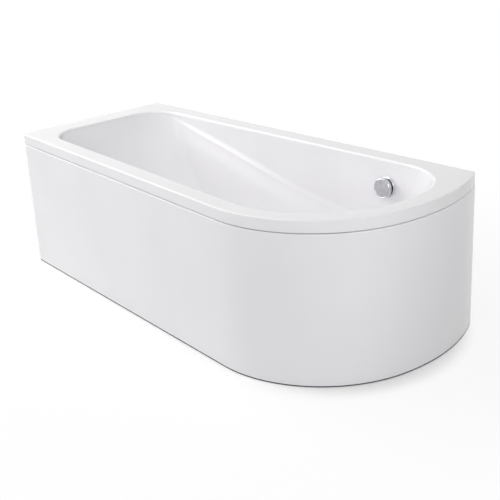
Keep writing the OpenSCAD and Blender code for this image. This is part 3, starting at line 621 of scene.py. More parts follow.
def to_object(name: str, mesh: bmesh.types.BMesh, edge: float) -> bpy.types.Object:
    """Turns a mesh under work into an object that reaches no further along X than the CAD's box.

    Args:
        name: the object's name.
        mesh: the mesh; it is freed.
        edge: angle in degrees from which an edge shows as sharp.

    Returns:
        The object, smooth apart from its sharp edges.
    """
    bmesh.ops.remove_doubles(mesh, verts=mesh.verts, dist=MERGE)
    bmesh.ops.dissolve_degenerate(mesh, edges=mesh.edges, dist=MERGE / 10)
    bmesh.ops.recalc_face_normals(mesh, faces=mesh.faces)
    for vert in mesh.verts:  # the CAD's facets cut the curved end a little short
        vert.co.x = min(vert.co.x, cad_box[1][0])
    data = bpy.data.meshes.new(name)
    mesh.to_mesh(data)
    mesh.free()
    data.shade_smooth()
    data.set_sharp_from_angle(angle=math.radians(edge))
    return placed(name, data)


def skinned(
    name: str, stacks: Sequence[np.ndarray], edge: float, loop: bool = True, split: float = math.inf
) -> bpy.types.Object:
    """Makes an object of skins, each through rings of points that close on themselves.

    Args:
        name: the object's name.
        stacks: for each skin its rings, points in a ring, coordinates.
        edge: angle in degrees from which an edge shows as sharp.
        loop: whether the last ring joins the first one; if not, a face closes either end.
        split: number of the ring from which the second finish starts.

    Returns:
        The object.
    """
    mesh = bmesh.new()
    for stack in stacks:
        rings = [[mesh.verts.new(point) for point in ring] for ring in stack]
        after = rings[1:] + rings[:1] if loop else rings[1:]
        for row, (lower, upper) in enumerate(zip(rings, after)):
            for corners in zip(lower, lower[1:] + lower[:1], upper[1:] + upper[:1], upper):
                mesh.faces.new(corners).material_index = int(row >= split)
        if not loop:
            mesh.faces.new(rings[0])
            mesh.faces.new(rings[-1])
    return to_object(name, mesh, edge)


def softened(points: Sequence[Sequence[float]], radius: float, steps: int = 4) -> np.ndarray:
    """Rounds every inner corner of a line.

    Args:
        points: corners of the line.
        radius: reach of the rounding, less where a side is short.
        steps: pieces of each rounding.

    Returns:
        The points of the rounded line.
    """
    line = [np.array(p, float) for p in points]
    out = [line[0]]
    for before, at, after in zip(line, line[1:], line[2:]):
        sides = np.linalg.norm(before - at), np.linalg.norm(after - at)
        reach = min(radius, SIDE_SHARE * min(sides))
        start = at + (before - at) * reach / sides[0]
        end = at + (after - at) * reach / sides[1]
        for t in np.linspace(0, 1, steps + 1):
            out.append((1 - t) ** 2 * start + 2 * t * (1 - t) * at + t * t * end)
    return np.array([*out, line[-1]])


def turned(
    name: str, line: Sequence[Sequence[float]], where: Matrix, steps: int, edge: float = 35
) -> bpy.types.Object:
    """Turns a closed outline, or one that starts and ends on the axis, about Z.

    Args:
        name: the object's name.
        line: radius and height of each point, in millimetres.
        where: the place of its frame.
        steps: pieces round the axis.
        edge: angle in degrees from which an edge shows as sharp.

    Returns:
        The object.
    """
    mesh = bmesh.new()
    turns = polar(steps_to(math.tau, steps))
    rings = []
    for radius, height in np.array(line) * MM:
        spots = radius * turns if radius >= MERGE else turns[:1] * 0
        rings.append([mesh.verts.new(where @ Vector((x, y, height))) for x, y in spots])
    closed = len(rings[0]) > 1 and len(rings[-1]) > 1
    for low, high in zip(rings, rings[1:] + rings[:closed]):
        if len(low) == 1 and len(high) == 1:
            continue
        for i in range(steps):
            k = (i + 1) % steps
            corners = [low[i % len(low)], low[k % len(low)], high[k % len(high)], high[i % len(high)]]
            mesh.faces.new(list(dict.fromkeys(corners)))
    return to_object(name, mesh, edge)


def bore(obj: bpy.types.Object, where: Matrix, hole: Sequence[float], steps: int) -> None:
    """Bores a round hole along the Z axis of a frame.

    Args:
        obj: the piece that gets the hole.
        where: the place of the frame.
        hole: its radius, its lower and its upper end, in millimetres.
        steps: pieces round the hole.
    """
    radius, low, high = hole
    cutter = turned("cutter", [(0, low), (radius, low), (radius, high), (0, high)], where, steps)
    cut = obj.modifiers.new("bore", "BOOLEAN")
    cut.object = cutter
    cut.solver = "EXACT"
    bpy.context.view_layer.update()
    graph = bpy.context.evaluated_depsgraph_get()
    data = bpy.data.meshes.new_from_object(obj.evaluated_get(graph))
    obj.modifiers.clear()
    old, obj.data = obj.data, data
    data.name = obj.name
    bpy.data.meshes.remove(old)
    bpy.data.objects.remove(cutter)


def loose_boxes(node: str) -> list[tuple[Vector, Vector]]:
    """The boxes of the separate solids of a CAD node.

    Args:
        node: name of the node.

    Returns:
        Lowest and highest corner of each solid, in order along X, then Y, then Z.
    """
    mesh = bmesh.new()
    mesh.from_mesh(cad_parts[node].data)
    bmesh.ops.remove_doubles(mesh, verts=mesh.verts, dist=MERGE)
    left = set(mesh.verts)
    boxes = []
    while left:
        group = [left.pop()]
        for vert in group:
            near = {edge.other_vert(vert) for edge in vert.link_edges} & left
            left -= near
            group += near
        spots = np.array([vert.co[:] for vert in group])
        boxes.append((Vector(spots.min(0)), Vector(spots.max(0))))
    mesh.free()
    return sorted(boxes, key=lambda box: tuple(round(part, 4) for part in box[0]))


# -------------------------------- plan of the bath


@dataclass(frozen=True)
class Plan:
    """The outline and the basin as maths, in the frame of the CAD."""

    length: float = 1.700
    width: float = 0.750
    head_width: float = 0.650
    rim: float = 0.520
    knee: float = 0.410
    sweep: float = 0.640
    offset: float = 0.298
    corner: float = 0.014
    lip: float = 0.038
    lip_wall: float = 0.005
    lip_round: float = 0.0035
    inner_round: float = 0.0065
    rim_width: float = 0.060
    head_rim: float = 0.087
    depth: float = 0.380
    fall: float = 0.010
    shell: float = 0.006
    floor_wall: float = 0.010
    roll: float = 0.008
    draft: float = 0.06
    crease: float = 0.218
    crease_reach: float = 1.285
    crease_straight: float = 0.39
    step: float = 0.015
    step_ledge: float = 0.45
    step_start: float = 0.3
    step_drop: float = 1.6
    step_merge: float = 0.075
    step_grow: float = 0.25
    step_fade: float = 0.30
    lounge: float = 0.340
    side_run: float = 0.116
    end_run: float = 0.136
    basin_corner: float = 0.126
    back_corner: float = 0.226
    corner_growth: float = 0.020
    corner_stretch: float = 0.170
    corner_fill: float = 0.98
    back_tighten: float = 0.090
    side_lean: float = 0.45
    lounge_lean: float = 0.75
    waste_margin: float = 0.078
    waste_drop: float = 0.003
    overflow_depth: float = 0.091

    @property
    def head_x(self) -> float:
        """X of the head end."""
        return -self.length / 2

    @property
    def wall_y(self) -> float:
        """Y of the room wall."""
        return self.width / 2

    @property
    def sweep_c(self) -> np.ndarray:
        """Centre of the long sweep."""
        return np.array([self.length / 2 - self.sweep, self.wall_y - self.offset])

    @property
    def knee_c(self) -> np.ndarray:
        """Centre of the front knee, which touches the sweep from inside."""
        (x, level), y = self.sweep_c, self.knee - self.width / 2
        return np.array([x + math.sqrt((self.sweep - self.knee) ** 2 - (level - y) ** 2), y])

    @property
    def taper(self) -> float:
        """Angle of the front against the room wall."""
        away = self.knee_c - np.array([self.head_x, self.wall_y - self.head_width])
        return math.asin(self.knee / math.hypot(*away)) - math.atan2(away[1], away[0])

    @property
    def knee_from(self) -> float:
        """Polar angle at which the knee starts."""
        return -QUARTER - self.taper

    @property
    def knee_to(self) -> float:
        """Polar angle at which the knee turns into the sweep."""
        away = self.knee_c - self.sweep_c
        return math.atan2(away[1], away[0])

    @property
    def sweep_to(self) -> float:
        """Polar angle at which the sweep meets its last corner."""
        return math.asin((self.offset - self.corner) / (self.sweep - self.corner))

    @property
    def last_c(self) -> np.ndarray:
        """Centre of the corner at the room wall."""
        return self.sweep_c + (self.sweep - self.corner) * polar(self.sweep_to)

    @property
    def waste(self) -> np.ndarray:
        """Centre of the waste in plan."""
        edge = self.knee_c[0] + self.knee - self.rim_width
        return np.array([edge - self.back_corner - self.waste_margin, 0.0])

    @property
    def overflow(self) -> Matrix:
        """The frame of the overflow.

        Returns:
            A frame on the wall with Z along the spindle, into the basin.
        """
        inset = self.rim_width + self.steep_run(self.overflow_depth)
        spot = Vector((self.waste[0], self.wall_y - inset, self.rim - self.overflow_depth))
        return Matrix.Translation(spot) @ Matrix.Rotation(QUARTER - math.atan(self.draft), 4, "X")

    def front_y(self, x: object, inset: object) -> object:
        """Y of the front line, which leans towards the curved end.

        Args:
            x: where along the bath.
            inset: how far the line has moved inwards.

        Returns:
            Its Y there.
        """
        radius = self.knee - inset
        across = x - self.knee_c[0] + radius * math.sin(self.taper)
        return self.knee_c[1] - radius * math.cos(self.taper) - across * math.tan(self.taper)

    def crease_share(self, x: np.ndarray) -> np.ndarray:
        """How far along the crease x lies."""
        start = self.head_x + self.head_rim
        return np.clip((x - start) / (self.crease_reach - self.head_rim), 0, 1)

    def crease_at(self, x: np.ndarray) -> np.ndarray:
        """Depth of the crease.

        Args:
            x: where along the bath.

        Returns:
            Its depth there.
        """
        share = self.crease_share(x)
        curve = mix(smooth(share), share, self.crease_straight)
        return mix(self.roll, self.crease, curve)

    def steep_run(self, depth: np.ndarray) -> np.ndarray:
        """How far the steep wall has moved in at a depth."""
        return self.roll + self.draft * (depth - self.roll)

    def step_at(self, x: np.ndarray) -> np.ndarray:
        """Width of the crease's step at x."""
        share = self.crease_share(x)
        return self.step * smooth(share / self.step_grow) * smooth((1 - share) / self.step_fade)


@dataclass
class Stations:
    """The stations round the basin and the outline, and the rings through them."""

    plan: Plan
    counts: tuple = (22, 26, 56, 64, 3, 56, 60, 26)
    last_corner_share: float = 0.84

    def __post_init__(self) -> None:
        """Lists each station's stretch and its share of it."""
        pairs = [(s, i / n) for s, n in zip(Stretch, self.counts) for i in range(n)]
        self.kind, self.share = np.array(pairs, float).T

    def pick(self, choices: dict[Stretch, np.ndarray]) -> np.ndarray:
        """Takes each station's value from the array of its stretch.

        Args:
            choices: for each stretch, values for all stations.

        Returns:
            The chosen values.
        """
        shape = np.broadcast_shapes(*(value.shape for value in choices.values()))
        out = np.zeros(shape)
        for stretch, value in choices.items():
            where = self.kind == stretch
            out[..., where, :] = np.broadcast_to(value, shape)[..., where, :]
        return out

    @property
    def head_share(self) -> np.ndarray:
        """How far each station belongs to the head end."""
        at = [self.kind == s for s in (Stretch.HEAD, Stretch.HEAD_FRONT, Stretch.HEAD_BACK)]
        return np.select(at, [1.0, smooth(1 - self.share), smooth(self.share)], 0.0)

    @property
    def end_share(self) -> np.ndarray:
        """How far each station belongs to the curved end."""
        at = [self.kind == s for s in (Stretch.POINT, Stretch.BACK_CORNER, Stretch.KNEE)]
        return np.select(at, [1.0, smooth(1 - self.share), smooth(self.share)], 0.0)

    def basin(self, steep: object, share: object, skin: float = 0.0) -> np.ndarray:
        """Plan points of a ring of the basin.

        Args:
            steep: how far it has moved in down the steep wall.
            share: how far it has moved from the crease to the floor, from 0 to 1.
            skin: thickness added outside.

        Returns:
            X and Y of each point.
        """
        plan, t = self.plan, self.share
        head = plan.head_rim - skin + mix(steep, plan.lounge, share)
        front = plan.rim_width - skin + mix(steep, plan.side_run, share)
        end = plan.rim_width - skin + mix(steep, plan.end_run, share)
        left, back, right = plan.head_x + head, plan.wall_y - front, plan.knee_c[0] + plan.knee - end
        half = (back - plan.front_y(left, front)) / 2
        corner = np.minimum(plan.corner_fill * half, plan.basin_corner + skin + plan.corner_growth * share)
        long = plan.basin_corner + skin + plan.corner_stretch * share
        start, slope = left + long, long * math.tan(plan.taper)
        front_c = coords(start, plan.front_y(start, front) + np.hypot(corner, slope))
        back_c = coords(start, back - corner)
        wish = plan.back_corner + skin - steep - plan.back_tighten * share
        curve = np.minimum(back - plan.knee_c[1], wish)
        curve_c = coords(right - curve, back - curve)
        tight, bend = curve[..., None], (plan.knee - mix(front, end, self.end_share))[..., None]
        end_turn = -QUARTER - np.arctan2(slope, corner)
        front_from = front_c + oval(long, corner, end_turn)
        front_to = plan.knee_c + bend * polar(plan.knee_from)
        return self.pick(
            {
                Stretch.HEAD: coords(left, mix(back_c[..., 1], front_c[..., 1], t)),
                Stretch.HEAD_FRONT: front_c + oval(long, corner, mix(-math.pi, end_turn, t)),
                Stretch.FRONT: mix(front_from, front_to, t[:, None]),
                Stretch.KNEE: plan.knee_c + bend * polar(mix(plan.knee_from, 0, t)),
                Stretch.POINT: coords(right, mix(plan.knee_c[1], curve_c[..., 1], t)),
                Stretch.BACK_CORNER: curve_c + tight * polar(QUARTER * t),
                Stretch.BACK: coords(mix(curve_c[..., 0], back_c[..., 0], t), back),
                Stretch.HEAD_BACK: back_c + oval(long, corner, mix(QUARTER, math.pi, t)),
            }
        )

    def outline(self, inset: float) -> np.ndarray:
        """Plan points of the outline, moved inwards.

        Args:
            inset: how far, under the radius of the corners.

        Returns:
            X and Y of each station.
        """
        plan, t = self.plan, self.share
        x, across, split = plan.head_x + plan.corner, t[:, None], self.last_corner_share
        front_c = coords(x, plan.front_y(x, plan.corner))
        back_c = coords(x, plan.wall_y - plan.corner)
        small, bend, turn = plan.corner - inset, plan.knee - inset, polar(plan.knee_from)
        swept = mix(plan.knee_to, plan.sweep_to, np.clip(t / split, 0, 1))
        on_sweep = plan.sweep_c + (plan.sweep - inset) * polar(swept)
        rounded = mix(plan.sweep_to, QUARTER, np.clip((t - split) / (1 - split), 0, 1))
        on_corner = plan.last_c + small * polar(rounded)
        return self.pick(
            {
                Stretch.HEAD: coords(plan.head_x + inset, mix(back_c[1], front_c[1], t)),
                Stretch.HEAD_FRONT: front_c + small * polar(mix(-math.pi, plan.knee_from, t)),
                Stretch.FRONT: mix(front_c + small * turn, plan.knee_c + bend * turn, across),
                Stretch.KNEE: plan.knee_c + bend * polar(mix(plan.knee_from, plan.knee_to, t)),
                Stretch.POINT: plan.knee_c + bend * polar(plan.knee_to),
                Stretch.BACK_CORNER: np.where(across < split, on_sweep, on_corner),
                Stretch.BACK: coords(mix(plan.last_c[0], back_c[0], t), plan.wall_y - inset),
                Stretch.HEAD_BACK: back_c + small * polar(mix(QUARTER, math.pi, t)),
            }
        )


# -------------------------------- the shell


@dataclass
class TubShell:
    """The acrylic shell: lip, rim, steep walls, crease, bowl and floor, with its sprayed back."""

    stations: Stations
    soft: float = 3.0 * MM
    crisp: float = 1.2 * MM
    soft_from: float = 6 * MM
    soft_over: float = 20 * MM
    # points of the drawn profile and rings of the mesh, for the rim, roll, wall, step, bowl and floor
    drawn: tuple = (8, 14, 60, 12, 160, 13)
    rings: tuple = (4, 12, 12, 22, 34, 5)
    samples: int = 900
    lead: float = 0.020
    tail: float = 0.040
    band: float = 0.010
    wall_share: float = 0.45
    bowl_share: float = 0.2
    roll_lead: float = 2 * MM
    recess: float = 0.041
    recess_round: float = 1.2 * MM
    fall_run: float = 0.89
    hole: float = 0.026
    leg: float = 0.010
    # how far the lip's flat face stays from its lower edge and from the rim
    lip_face: tuple = (0.012, 0.0105)
    # radius, lower and upper end in millimetres
    overflow_hole: tuple = (26, -12, 6)
    hole_steps: int = 64
    sharp: float = 50

    def __post_init__(self) -> None:
        """Takes the plan of the stations."""
        self.plan = self.stations.plan

    def ring(self, run: object, share: object, deep: object, skin: float = 0.0) -> np.ndarray:
        """A ring of the basin at a depth; the rest is what Stations.basin takes."""
        return raised(self.stations.basin(run, share, skin), self.plan.rim - deep)

    def low_ring(self, turn: float, bottom: object, skin: float = 0.0) -> np.ndarray:
        """A ring of the bowl below the crease.

        Args:
            turn: from 0 at the crease to a quarter turn on the floor.
            bottom: depth of the floor's edge at each station.
            skin: thickness added outside.

        Returns:
            The ring's points.
        """
        plan, st = self.plan, self.stations
        lean = mix(plan.side_lean, plan.lounge_lean, st.head_share)
        share = lean * math.sin(turn) + (1 - lean) * (1 - math.cos(turn))
        rim = st.basin(0, 0)[:, 0]
        run = plan.steep_run(plan.crease_at(rim))
        x = rim + st.basin(run, share)[:, 0] - st.basin(run, 0)[:, 0]
        crease, step = plan.crease_at(x), plan.step_at(x)
        upper = crease + step * plan.step_drop
        deep = mix(upper, bottom, math.sin(turn))
        held = step * (1 - plan.step_ledge) * (1 - smooth((deep - upper) / plan.step_merge))
        return self.ring(plan.steep_run(crease) + step - held, share, deep, skin)

    def raw_basin(self) -> tuple[np.ndarray, np.ndarray, np.ndarray]:
        """Draws the basin's profile at each station, with its corners still sharp.

        Returns:
            The points by step and station, their arc lengths, and those of the marks between the parts.
        """
        plan, st = self.plan, self.stations
        rim = st.basin(0, 0)
        crease, step = plan.crease_at(rim[:, 0]), plan.step_at(rim[:, 0])
        away = st.outline(plan.lip_round) - rim
        start = rim + away * (self.lead / np.linalg.norm(away, axis=-1))[:, None]
        upper, lower = crease + step * plan.step_start, crease + step * plan.step_drop
        runs = plan.steep_run(upper), plan.steep_run(crease) + step * plan.step_ledge
        reach = plan.waste[0] - (plan.head_x + plan.head_rim + plan.lounge)
        bottom = plan.depth - plan.fall * np.linalg.norm(st.basin(0, 1) - plan.waste, axis=-1) / reach
        leads, rolls, walls, edges, bowls, floors = self.drawn
        rolled = steps_to(QUARTER, rolls)
        depths = [mix(plan.roll, upper, t) for t in steps_to(1, walls)]
        parts = [
            [raised(mix(start, rim, t), plan.rim) for t in steps_to(1, leads)],
            [self.ring(plan.roll * math.sin(t), 0, plan.roll * (1 - math.cos(t))) for t in rolled],
            [self.ring(plan.steep_run(deep), 0, deep) for deep in depths],
            [self.ring(mix(*runs, t), 0, mix(upper, lower, t)) for t in steps_to(1, edges)],
            [self.low_ring(t, bottom) for t in np.linspace(0, QUARTER, bowls)],
        ]
        marks = np.cumsum([len(part) for part in parts]) - (0, 0, 0, 0, 1)
        last, centre = parts[-1][-1], raised(plan.waste, plan.rim - plan.depth)
        share = self.tail / np.linalg.norm(last[:, :2] - plan.waste, axis=-1)[:, None]
        parts.append([mix(last, centre, share * t) for t in np.linspace(0, 1, floors)[1:]])
        points = np.concatenate(parts)
        steps = np.linalg.norm(np.diff(points, axis=0), axis=-1)
        length = np.pad(np.cumsum(steps, 0), ((1, 0), (0, 0)))
        return points, length, length[marks]

    def resampled(self, at: np.ndarray, known: np.ndarray, points: np.ndarray) -> np.ndarray:
        """Reads each station's profile at other arc lengths.

        Args:
            at: the wanted lengths by ring and station.
            known: the lengths of the known points.
            points: those points by step and station.

        Returns:
            The points at the wanted lengths.
        """
        out = np.empty((*at.shape, 3))
        for i, axis in np.ndindex(out.shape[1:]):
            out[:, i, axis] = np.interp(at[:, i], known[:, i], points[:, i, axis])
        return out

    def averaged(self, line: np.ndarray, width: float) -> np.ndarray:
        """A running average along the profile that keeps both of its ends.

        Args:
            line: points by step and station.
            width: spread of the average, in steps.

        Returns:
            The averaged points.
        """
        reach = int(3 * width) + 1
        weights = np.exp(-0.5 * (np.arange(-reach, reach + 1) / width) ** 2)
        weights /= weights.sum()
        first = 2 * line[:1] - line[reach:0:-1]
        last = 2 * line[-1:] - line[-2 : -reach - 2 : -1]
        padded = np.concatenate([first, line, last])
        return sum(w * padded[i : i + len(line)] for i, w in enumerate(weights))

    def places(self, marks: np.ndarray, total: np.ndarray) -> np.ndarray:
        """Where the rings lie along each station's profile: close together at the roll and the crease.

        Args:
            marks: arc lengths of roll, wall, step, bowl and floor.
            total: length of each profile.

        Returns:
            Arc lengths by ring and station.
        """
        roll, wall, step, bowl, floor = marks
        near = np.minimum(self.band, (step - wall) * self.wall_share)
        after = np.minimum(self.band, (floor - bowl) * self.bowl_share)
        ends = [0, roll - self.roll_lead, wall, step - near, bowl + after, floor, total]
        rows = [mix(a, b, t) for a, b, n in zip(ends, ends[1:], self.rings) for t in steps_to(1, n)]
        return np.maximum.accumulate(np.array([*rows, total]), 0)

    def basin_rings(self) -> np.ndarray:
        """Softens the basin's profile at the roll and the crease.

        Returns:
            The rings of the visible basin.
        """
        points, length, marks = self.raw_basin()
        total = length[-1]
        even = np.linspace(0, 1, self.samples)[:, None] * total
        line = self.resampled(even, length, points)
        spacing = total.mean() / self.samples
        crisp, soft = (self.averaged(line, width / spacing) for width in (self.crisp, self.soft))
        below = smooth((self.plan.rim - line[..., 2] - self.soft_from) / self.soft_over)
        return self.resampled(self.places(marks, total), even, mix(crisp, soft, below[..., None]))

    def floor_rings(self, edge: np.ndarray) -> np.ndarray:
        """The rings from the edge of the floor to the recess, the hole and the underside.

        Args:
            edge: the last ring of the bowl.

        Returns:
            The rings, from the outside to the middle.
        """
        plan = self.plan
        way = edge[:, :2] - plan.waste
        heading = way / np.linalg.norm(way, axis=-1)[:, None]
        bottom = plan.rim - plan.depth
        seat, brim = bottom - plan.waste_drop, bottom + plan.fall * self.recess / self.fall_run
        corners = [(self.recess, brim), (self.recess - MM, seat), (self.hole, seat)]
        corners.append((self.hole, seat - self.leg))
        line = [*softened(corners, self.recess_round, 3), (self.hole, bottom - plan.floor_wall)]
        lip = raised(plan.waste + heading * (self.recess + 2 * MM), brim)
        rings = [mix(edge, lip, t) for t in np.linspace(0, 1, 14)[1:]]
        return np.array(rings + [raised(plan.waste + heading * r, z) for r, z in line])

    def back_rings(self) -> np.ndarray:
        """The rings of the sprayed back.

        Returns:
            The rings, from the floor's underside up and out to the inside of the lip.
        """
        plan, st = self.plan, self.stations
        under, crease = plan.depth + plan.floor_wall, plan.crease_at(st.basin(0, 0)[:, 0])
        rings = [self.low_ring(t, under, plan.shell) for t in np.linspace(QUARTER, 0, 26)]
        for t in np.linspace(1, 0, 12):
            deep = mix(plan.roll, crease, t)
            rings.append(self.ring(plan.steep_run(deep), 0, deep, plan.shell))
        inner, edge = rings[-1][:, :2], st.outline(plan.inner_round)
        rings += [raised(mix(inner, edge, t), plan.rim - plan.lip_wall) for t in np.linspace(0, 1, 8)]
        small = plan.inner_round - plan.lip_wall
        for t in np.linspace(0, QUARTER, 5)[1:]:
            flat = st.outline(plan.inner_round - small * math.sin(t))
            rings.append(raised(flat, plan.rim - plan.inner_round + small * math.cos(t)))
        rings.append(raised(st.outline(plan.lip_wall), plan.rim - plan.lip + MM))
        return np.array(rings)

    def lip_rings(self) -> np.ndarray:
        """The rings of the lip.

        Returns:
            The rings, from its lower edge over the rounded top to the flat rim.
        """
        plan, low = self.plan, self.plan.rim - self.plan.lip
        corners = [(plan.lip_wall, low + MM), (plan.lip_wall, low), (0, low), (0, low + self.leg)]
        line = [(max(0, inset), z) for inset, z in softened(corners, MM, 3)[2:]]
        line += [(0, z) for z in np.linspace(low + self.lip_face[0], plan.rim - self.lip_face[1], 5)]
        for t in np.linspace(0, QUARTER, 9):
            line.append((plan.lip_round * (1 - math.cos(t)), plan.rim - plan.lip_round * (1 - math.sin(t))))
        return np.array([raised(self.stations.outline(inset), z) for inset, z in line])

    def build(self) -> None:
        """Builds the shell, cuts the overflow's hole and dresses it."""
        lip, basin, back = self.lip_rings(), self.basin_rings(), self.back_rings()
        floor = self.floor_rings(basin[-1])
        flat = [mix(lip[-1], basin[0], t) for t in np.linspace(0, 1, 6)[1:-1]]
        base = [mix(floor[-1], back[0], t) for t in np.linspace(0, 1, 8)[1:-1]]
        front = np.concatenate([lip, flat, basin, floor])
        skin = np.concatenate([front, base, back])
        obj = skinned("bath_shell", [skin], self.sharp, split=len(front) - 1)
        bore(obj, self.plan.overflow, self.overflow_hole, self.hole_steps)
        dress(obj, "bath", GLOSS, BACKING)
        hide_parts("tub_shell")


# -------------------------------- the panel


@dataclass
class FrontPanel:
    """The one-piece panel: a skin with a rounded top edge and a flange under the lip, and a dark foot seal
    that paints the shadow line in the gap under it.
    """

    plan: Plan
    wall: float = 0.004
    gap: float = 0.003
    foot: float = 0.004
    flange: float = 0.026
    return_flange: float = 0.009
    flange_start: float = 0.030
    rounding: float = 0.004
    small: float = 0.8 * MM
    bend: float = 2.0 * MM
    wall_angle: float = math.radians(1)
    sharp: float = 40
    # the foot seal, whose dark grey paints the shadow line in the gap under the panel
    seal_bite: float = 0.3 * MM
    seal_rise: float = 0.2 * MM
    seal_lip: float = 2.4 * MM
    seal_slope: float = 0.4 * MM
    seal_stem: float = 2.0 * MM
    seal_width: float = 2.8 * MM

    def profile(self, flange: float) -> np.ndarray:
        """The panel's section.

        Args:
            flange: reach of the flange under the lip.

        Returns:
            Inset and height of each point, in a closed loop.
        """
        wall, foot, small, bend = self.wall, self.foot, self.small, self.bend
        top = self.plan.rim - self.plan.lip - self.gap
        roof = top - wall
        line = [
            (wall, foot + small), (wall, roof - bend), (wall + bend, roof), (flange - small, roof),
            (flange, roof + small), (flange, top - small), (flange - small, top),
        ]
        for t in np.linspace(0, QUARTER, 8):
            line.append((self.rounding * (1 - math.sin(t)), top - self.rounding * (1 - math.cos(t))))
        line += [(0, z) for z in np.linspace(top - 2 * self.rounding, foot + small, 9)]
        return np.array(line + [(small, foot), (wall - small, foot)])

    def seal(self, _: float) -> np.ndarray:
        """The foot seal's section: a narrow stem in the panel's lower edge, and a wider lip on the floor; its
        dark grey paints the shadow line in the gap under the panel.

        Args:
            _: reach of the panel's flange, which has no say here.

        Returns:
            Inset and height of each point, in a closed loop.
        """
        top, lip, low = self.foot + self.seal_bite, self.seal_lip, self.seal_rise
        stem, edge = (self.wall - self.seal_stem) / 2, (self.wall - self.seal_width) / 2
        half = [(stem, top), (stem, lip), (edge, lip - self.seal_slope), (edge, low)]
        return np.array(half + [(self.wall - inset, z) for inset, z in reversed(half)])

    def arc(self, centre: np.ndarray, radius: float, span: Sequence[float], count: int) -> list[tuple]:
        """Points of an arc with their inward directions, from one polar angle to another."""
        return [(centre + radius * polar(angle), -polar(angle)) for angle in np.linspace(*span, count)]

    def stations(self) -> list[tuple[np.ndarray, np.ndarray, float]]:
        """Lists where the section is drawn.

        Returns:
            Points of the outline, their inward directions and the reach of the flange.
        """
        plan = self.plan
        x, start_x = plan.head_x + plan.corner, plan.head_x + self.flange_start
        corner, start = coords(x, plan.front_y(x, plan.corner)), coords(start_x, plan.front_y(start_x, 0))
        turn = polar(plan.knee_from)
        end = plan.knee_c + plan.knee * turn
        head = [(coords(plan.head_x, corner[1] + self.flange), coords(1.0, 0.0))]
        head += self.arc(corner, plan.corner, (-math.pi, plan.knee_from), 12)
        rest = [(mix(start, end, t), -turn) for t in np.linspace(0, 1, 40)]
        rest += self.arc(plan.knee_c, plan.knee, (plan.knee_from, plan.knee_to), 81)[1:]
        last = plan.sweep_to - self.wall_angle
        rest += self.arc(plan.sweep_c, plan.sweep, (plan.knee_to, last), 50)[1:]
        return [(*spot, self.return_flange) for spot in head] + [(*spot, self.flange) for spot in rest]

    def drawn(self, name: str, section: Callable[[float], np.ndarray]) -> bpy.types.Object:
        """Draws a section along the panel, from the head end to the room wall.

        Args:
            name: the object's name.
            section: gives inset and height of the section's points for a reach of the flange.

        Returns:
            The drawn piece.
        """
        plan, rings = self.plan, []
        for point, inward, flange in self.stations():
            line = section(flange)
            rings.append(raised(point + line[:, :1] * inward, line[:, 1]))
        reach = np.sqrt((plan.sweep - line[:, 0]) ** 2 - plan.offset**2)
        rings.append(coords(plan.sweep_c[0] + reach, plan.wall_y, line[:, 1]))
        return skinned(name, [rings], self.sharp, loop=False)

    def build(self) -> None:
        """Builds the panel and the seal under it, whose dark grey is painted shadow, and dresses them."""
        obj = dress(self.drawn("panel_skin", self.profile), "panel", PANEL)
        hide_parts("front_panel")
        # painted shadow: the dark seal fills the foot gap where there is only shade
        dress(self.drawn("panel_shadow_seal", self.seal), "panel", SHADOW_SEAL)


# -------------------------------- overflow and waste


@dataclass
class OverflowControl:
    """The round knob and the rosette behind it, in the overflow's frame, in millimetres."""

    plan: Plan
    knob_r: float = 33.0
    knob_height: float = 14.5
    knob_from: float = 14.0
    knob_roof: float = 4.2
    rosette_r: float = 34.8
    rosette_height: float = 6.0
    spindle_r: float = 5.0
    low: float = -16.99
    holes: int = 4
    # radius, lower and upper end
    hole: tuple = (4.5, -4, 8)
    hole_steps: int = 32
    turns: int = 128
    sharp: float = 60

    def knob(self) -> None:
        """A hollow cap with a rolled rim, a shallow groove and a dished satin face."""
        r, h, axle = self.knob_r, self.knob_height, self.spindle_r
        hub, roof = axle + 4, h - self.knob_roof
        shell = softened(
            [
                (axle, 0), (hub, 0), (hub, roof), (r - 3, roof), (r - 3, 0.6), (r - 1.6, 0), (r, 1.2),
                (r, h - 2), (r - 0.7, h - 0.6), (r - 1.8, h), (r - 2.6, h - 0.1), (r - 3.1, h - 0.8),
            ],
            0.9,
            5,
        )
        bottom = [(0, roof - 0.5), (axle, roof - 0.5)]
        groove = [(r - 3.3, h - 0.85), (r - 3.8, h - 0.6)]
        face = [(x, h - 0.9 + 0.3 * (x / (r - 4)) ** 2) for x in np.linspace(r - 4.6, 0, 11)]
        where = self.plan.overflow @ Matrix.Translation((0, 0, self.knob_from * MM))
        obj = turned("knob_cap", [*bottom, *shell, *groove, *face], where, self.turns, self.sharp)
        back = where.inverted()
        for poly in obj.data.polygons:
            x, y, z = (back @ poly.center) / MM
            poly.material_index = int(math.hypot(x, y) < r - 3.7 and z > roof + 1)
        dress(obj, "knob", CHROME, SATIN)
        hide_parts("overflow_knob")

    def rosette(self) -> None:
        """The flange on the wall with its raised edge, hub and water holes."""
        r, h, low, inner = self.rosette_r, self.rosette_height, self.low, self.spindle_r + 0.04
        hub = self.spindle_r + 3
        line = softened(
            [
                (inner, low), (hub, low), (hub, 0), (r - 0.4, 0), (r, 0.8), (r, 2), (r - 3, h),
                (r - 12, h), (r - 14, 3), (hub, 3), (hub, 4), (inner, 4),
            ],
            0.8,
        )
        obj = turned("rosette_plate", line, self.plan.overflow, self.turns, self.sharp)
        reach = (hub + r - 14) / 2 + 1
        for angle in math.pi / 4 + steps_to(math.tau, self.holes):
            spot = Matrix.Translation((*(reach * MM * polar(angle)), 0))
            bore(obj, self.plan.overflow @ spot, self.hole, self.hole_steps)
        dress(obj, "bath", CHROME)
        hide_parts("overflow_rosette")

    def build(self) -> None:
        """Builds the knob and the rosette."""
        self.knob()
        self.rosette()


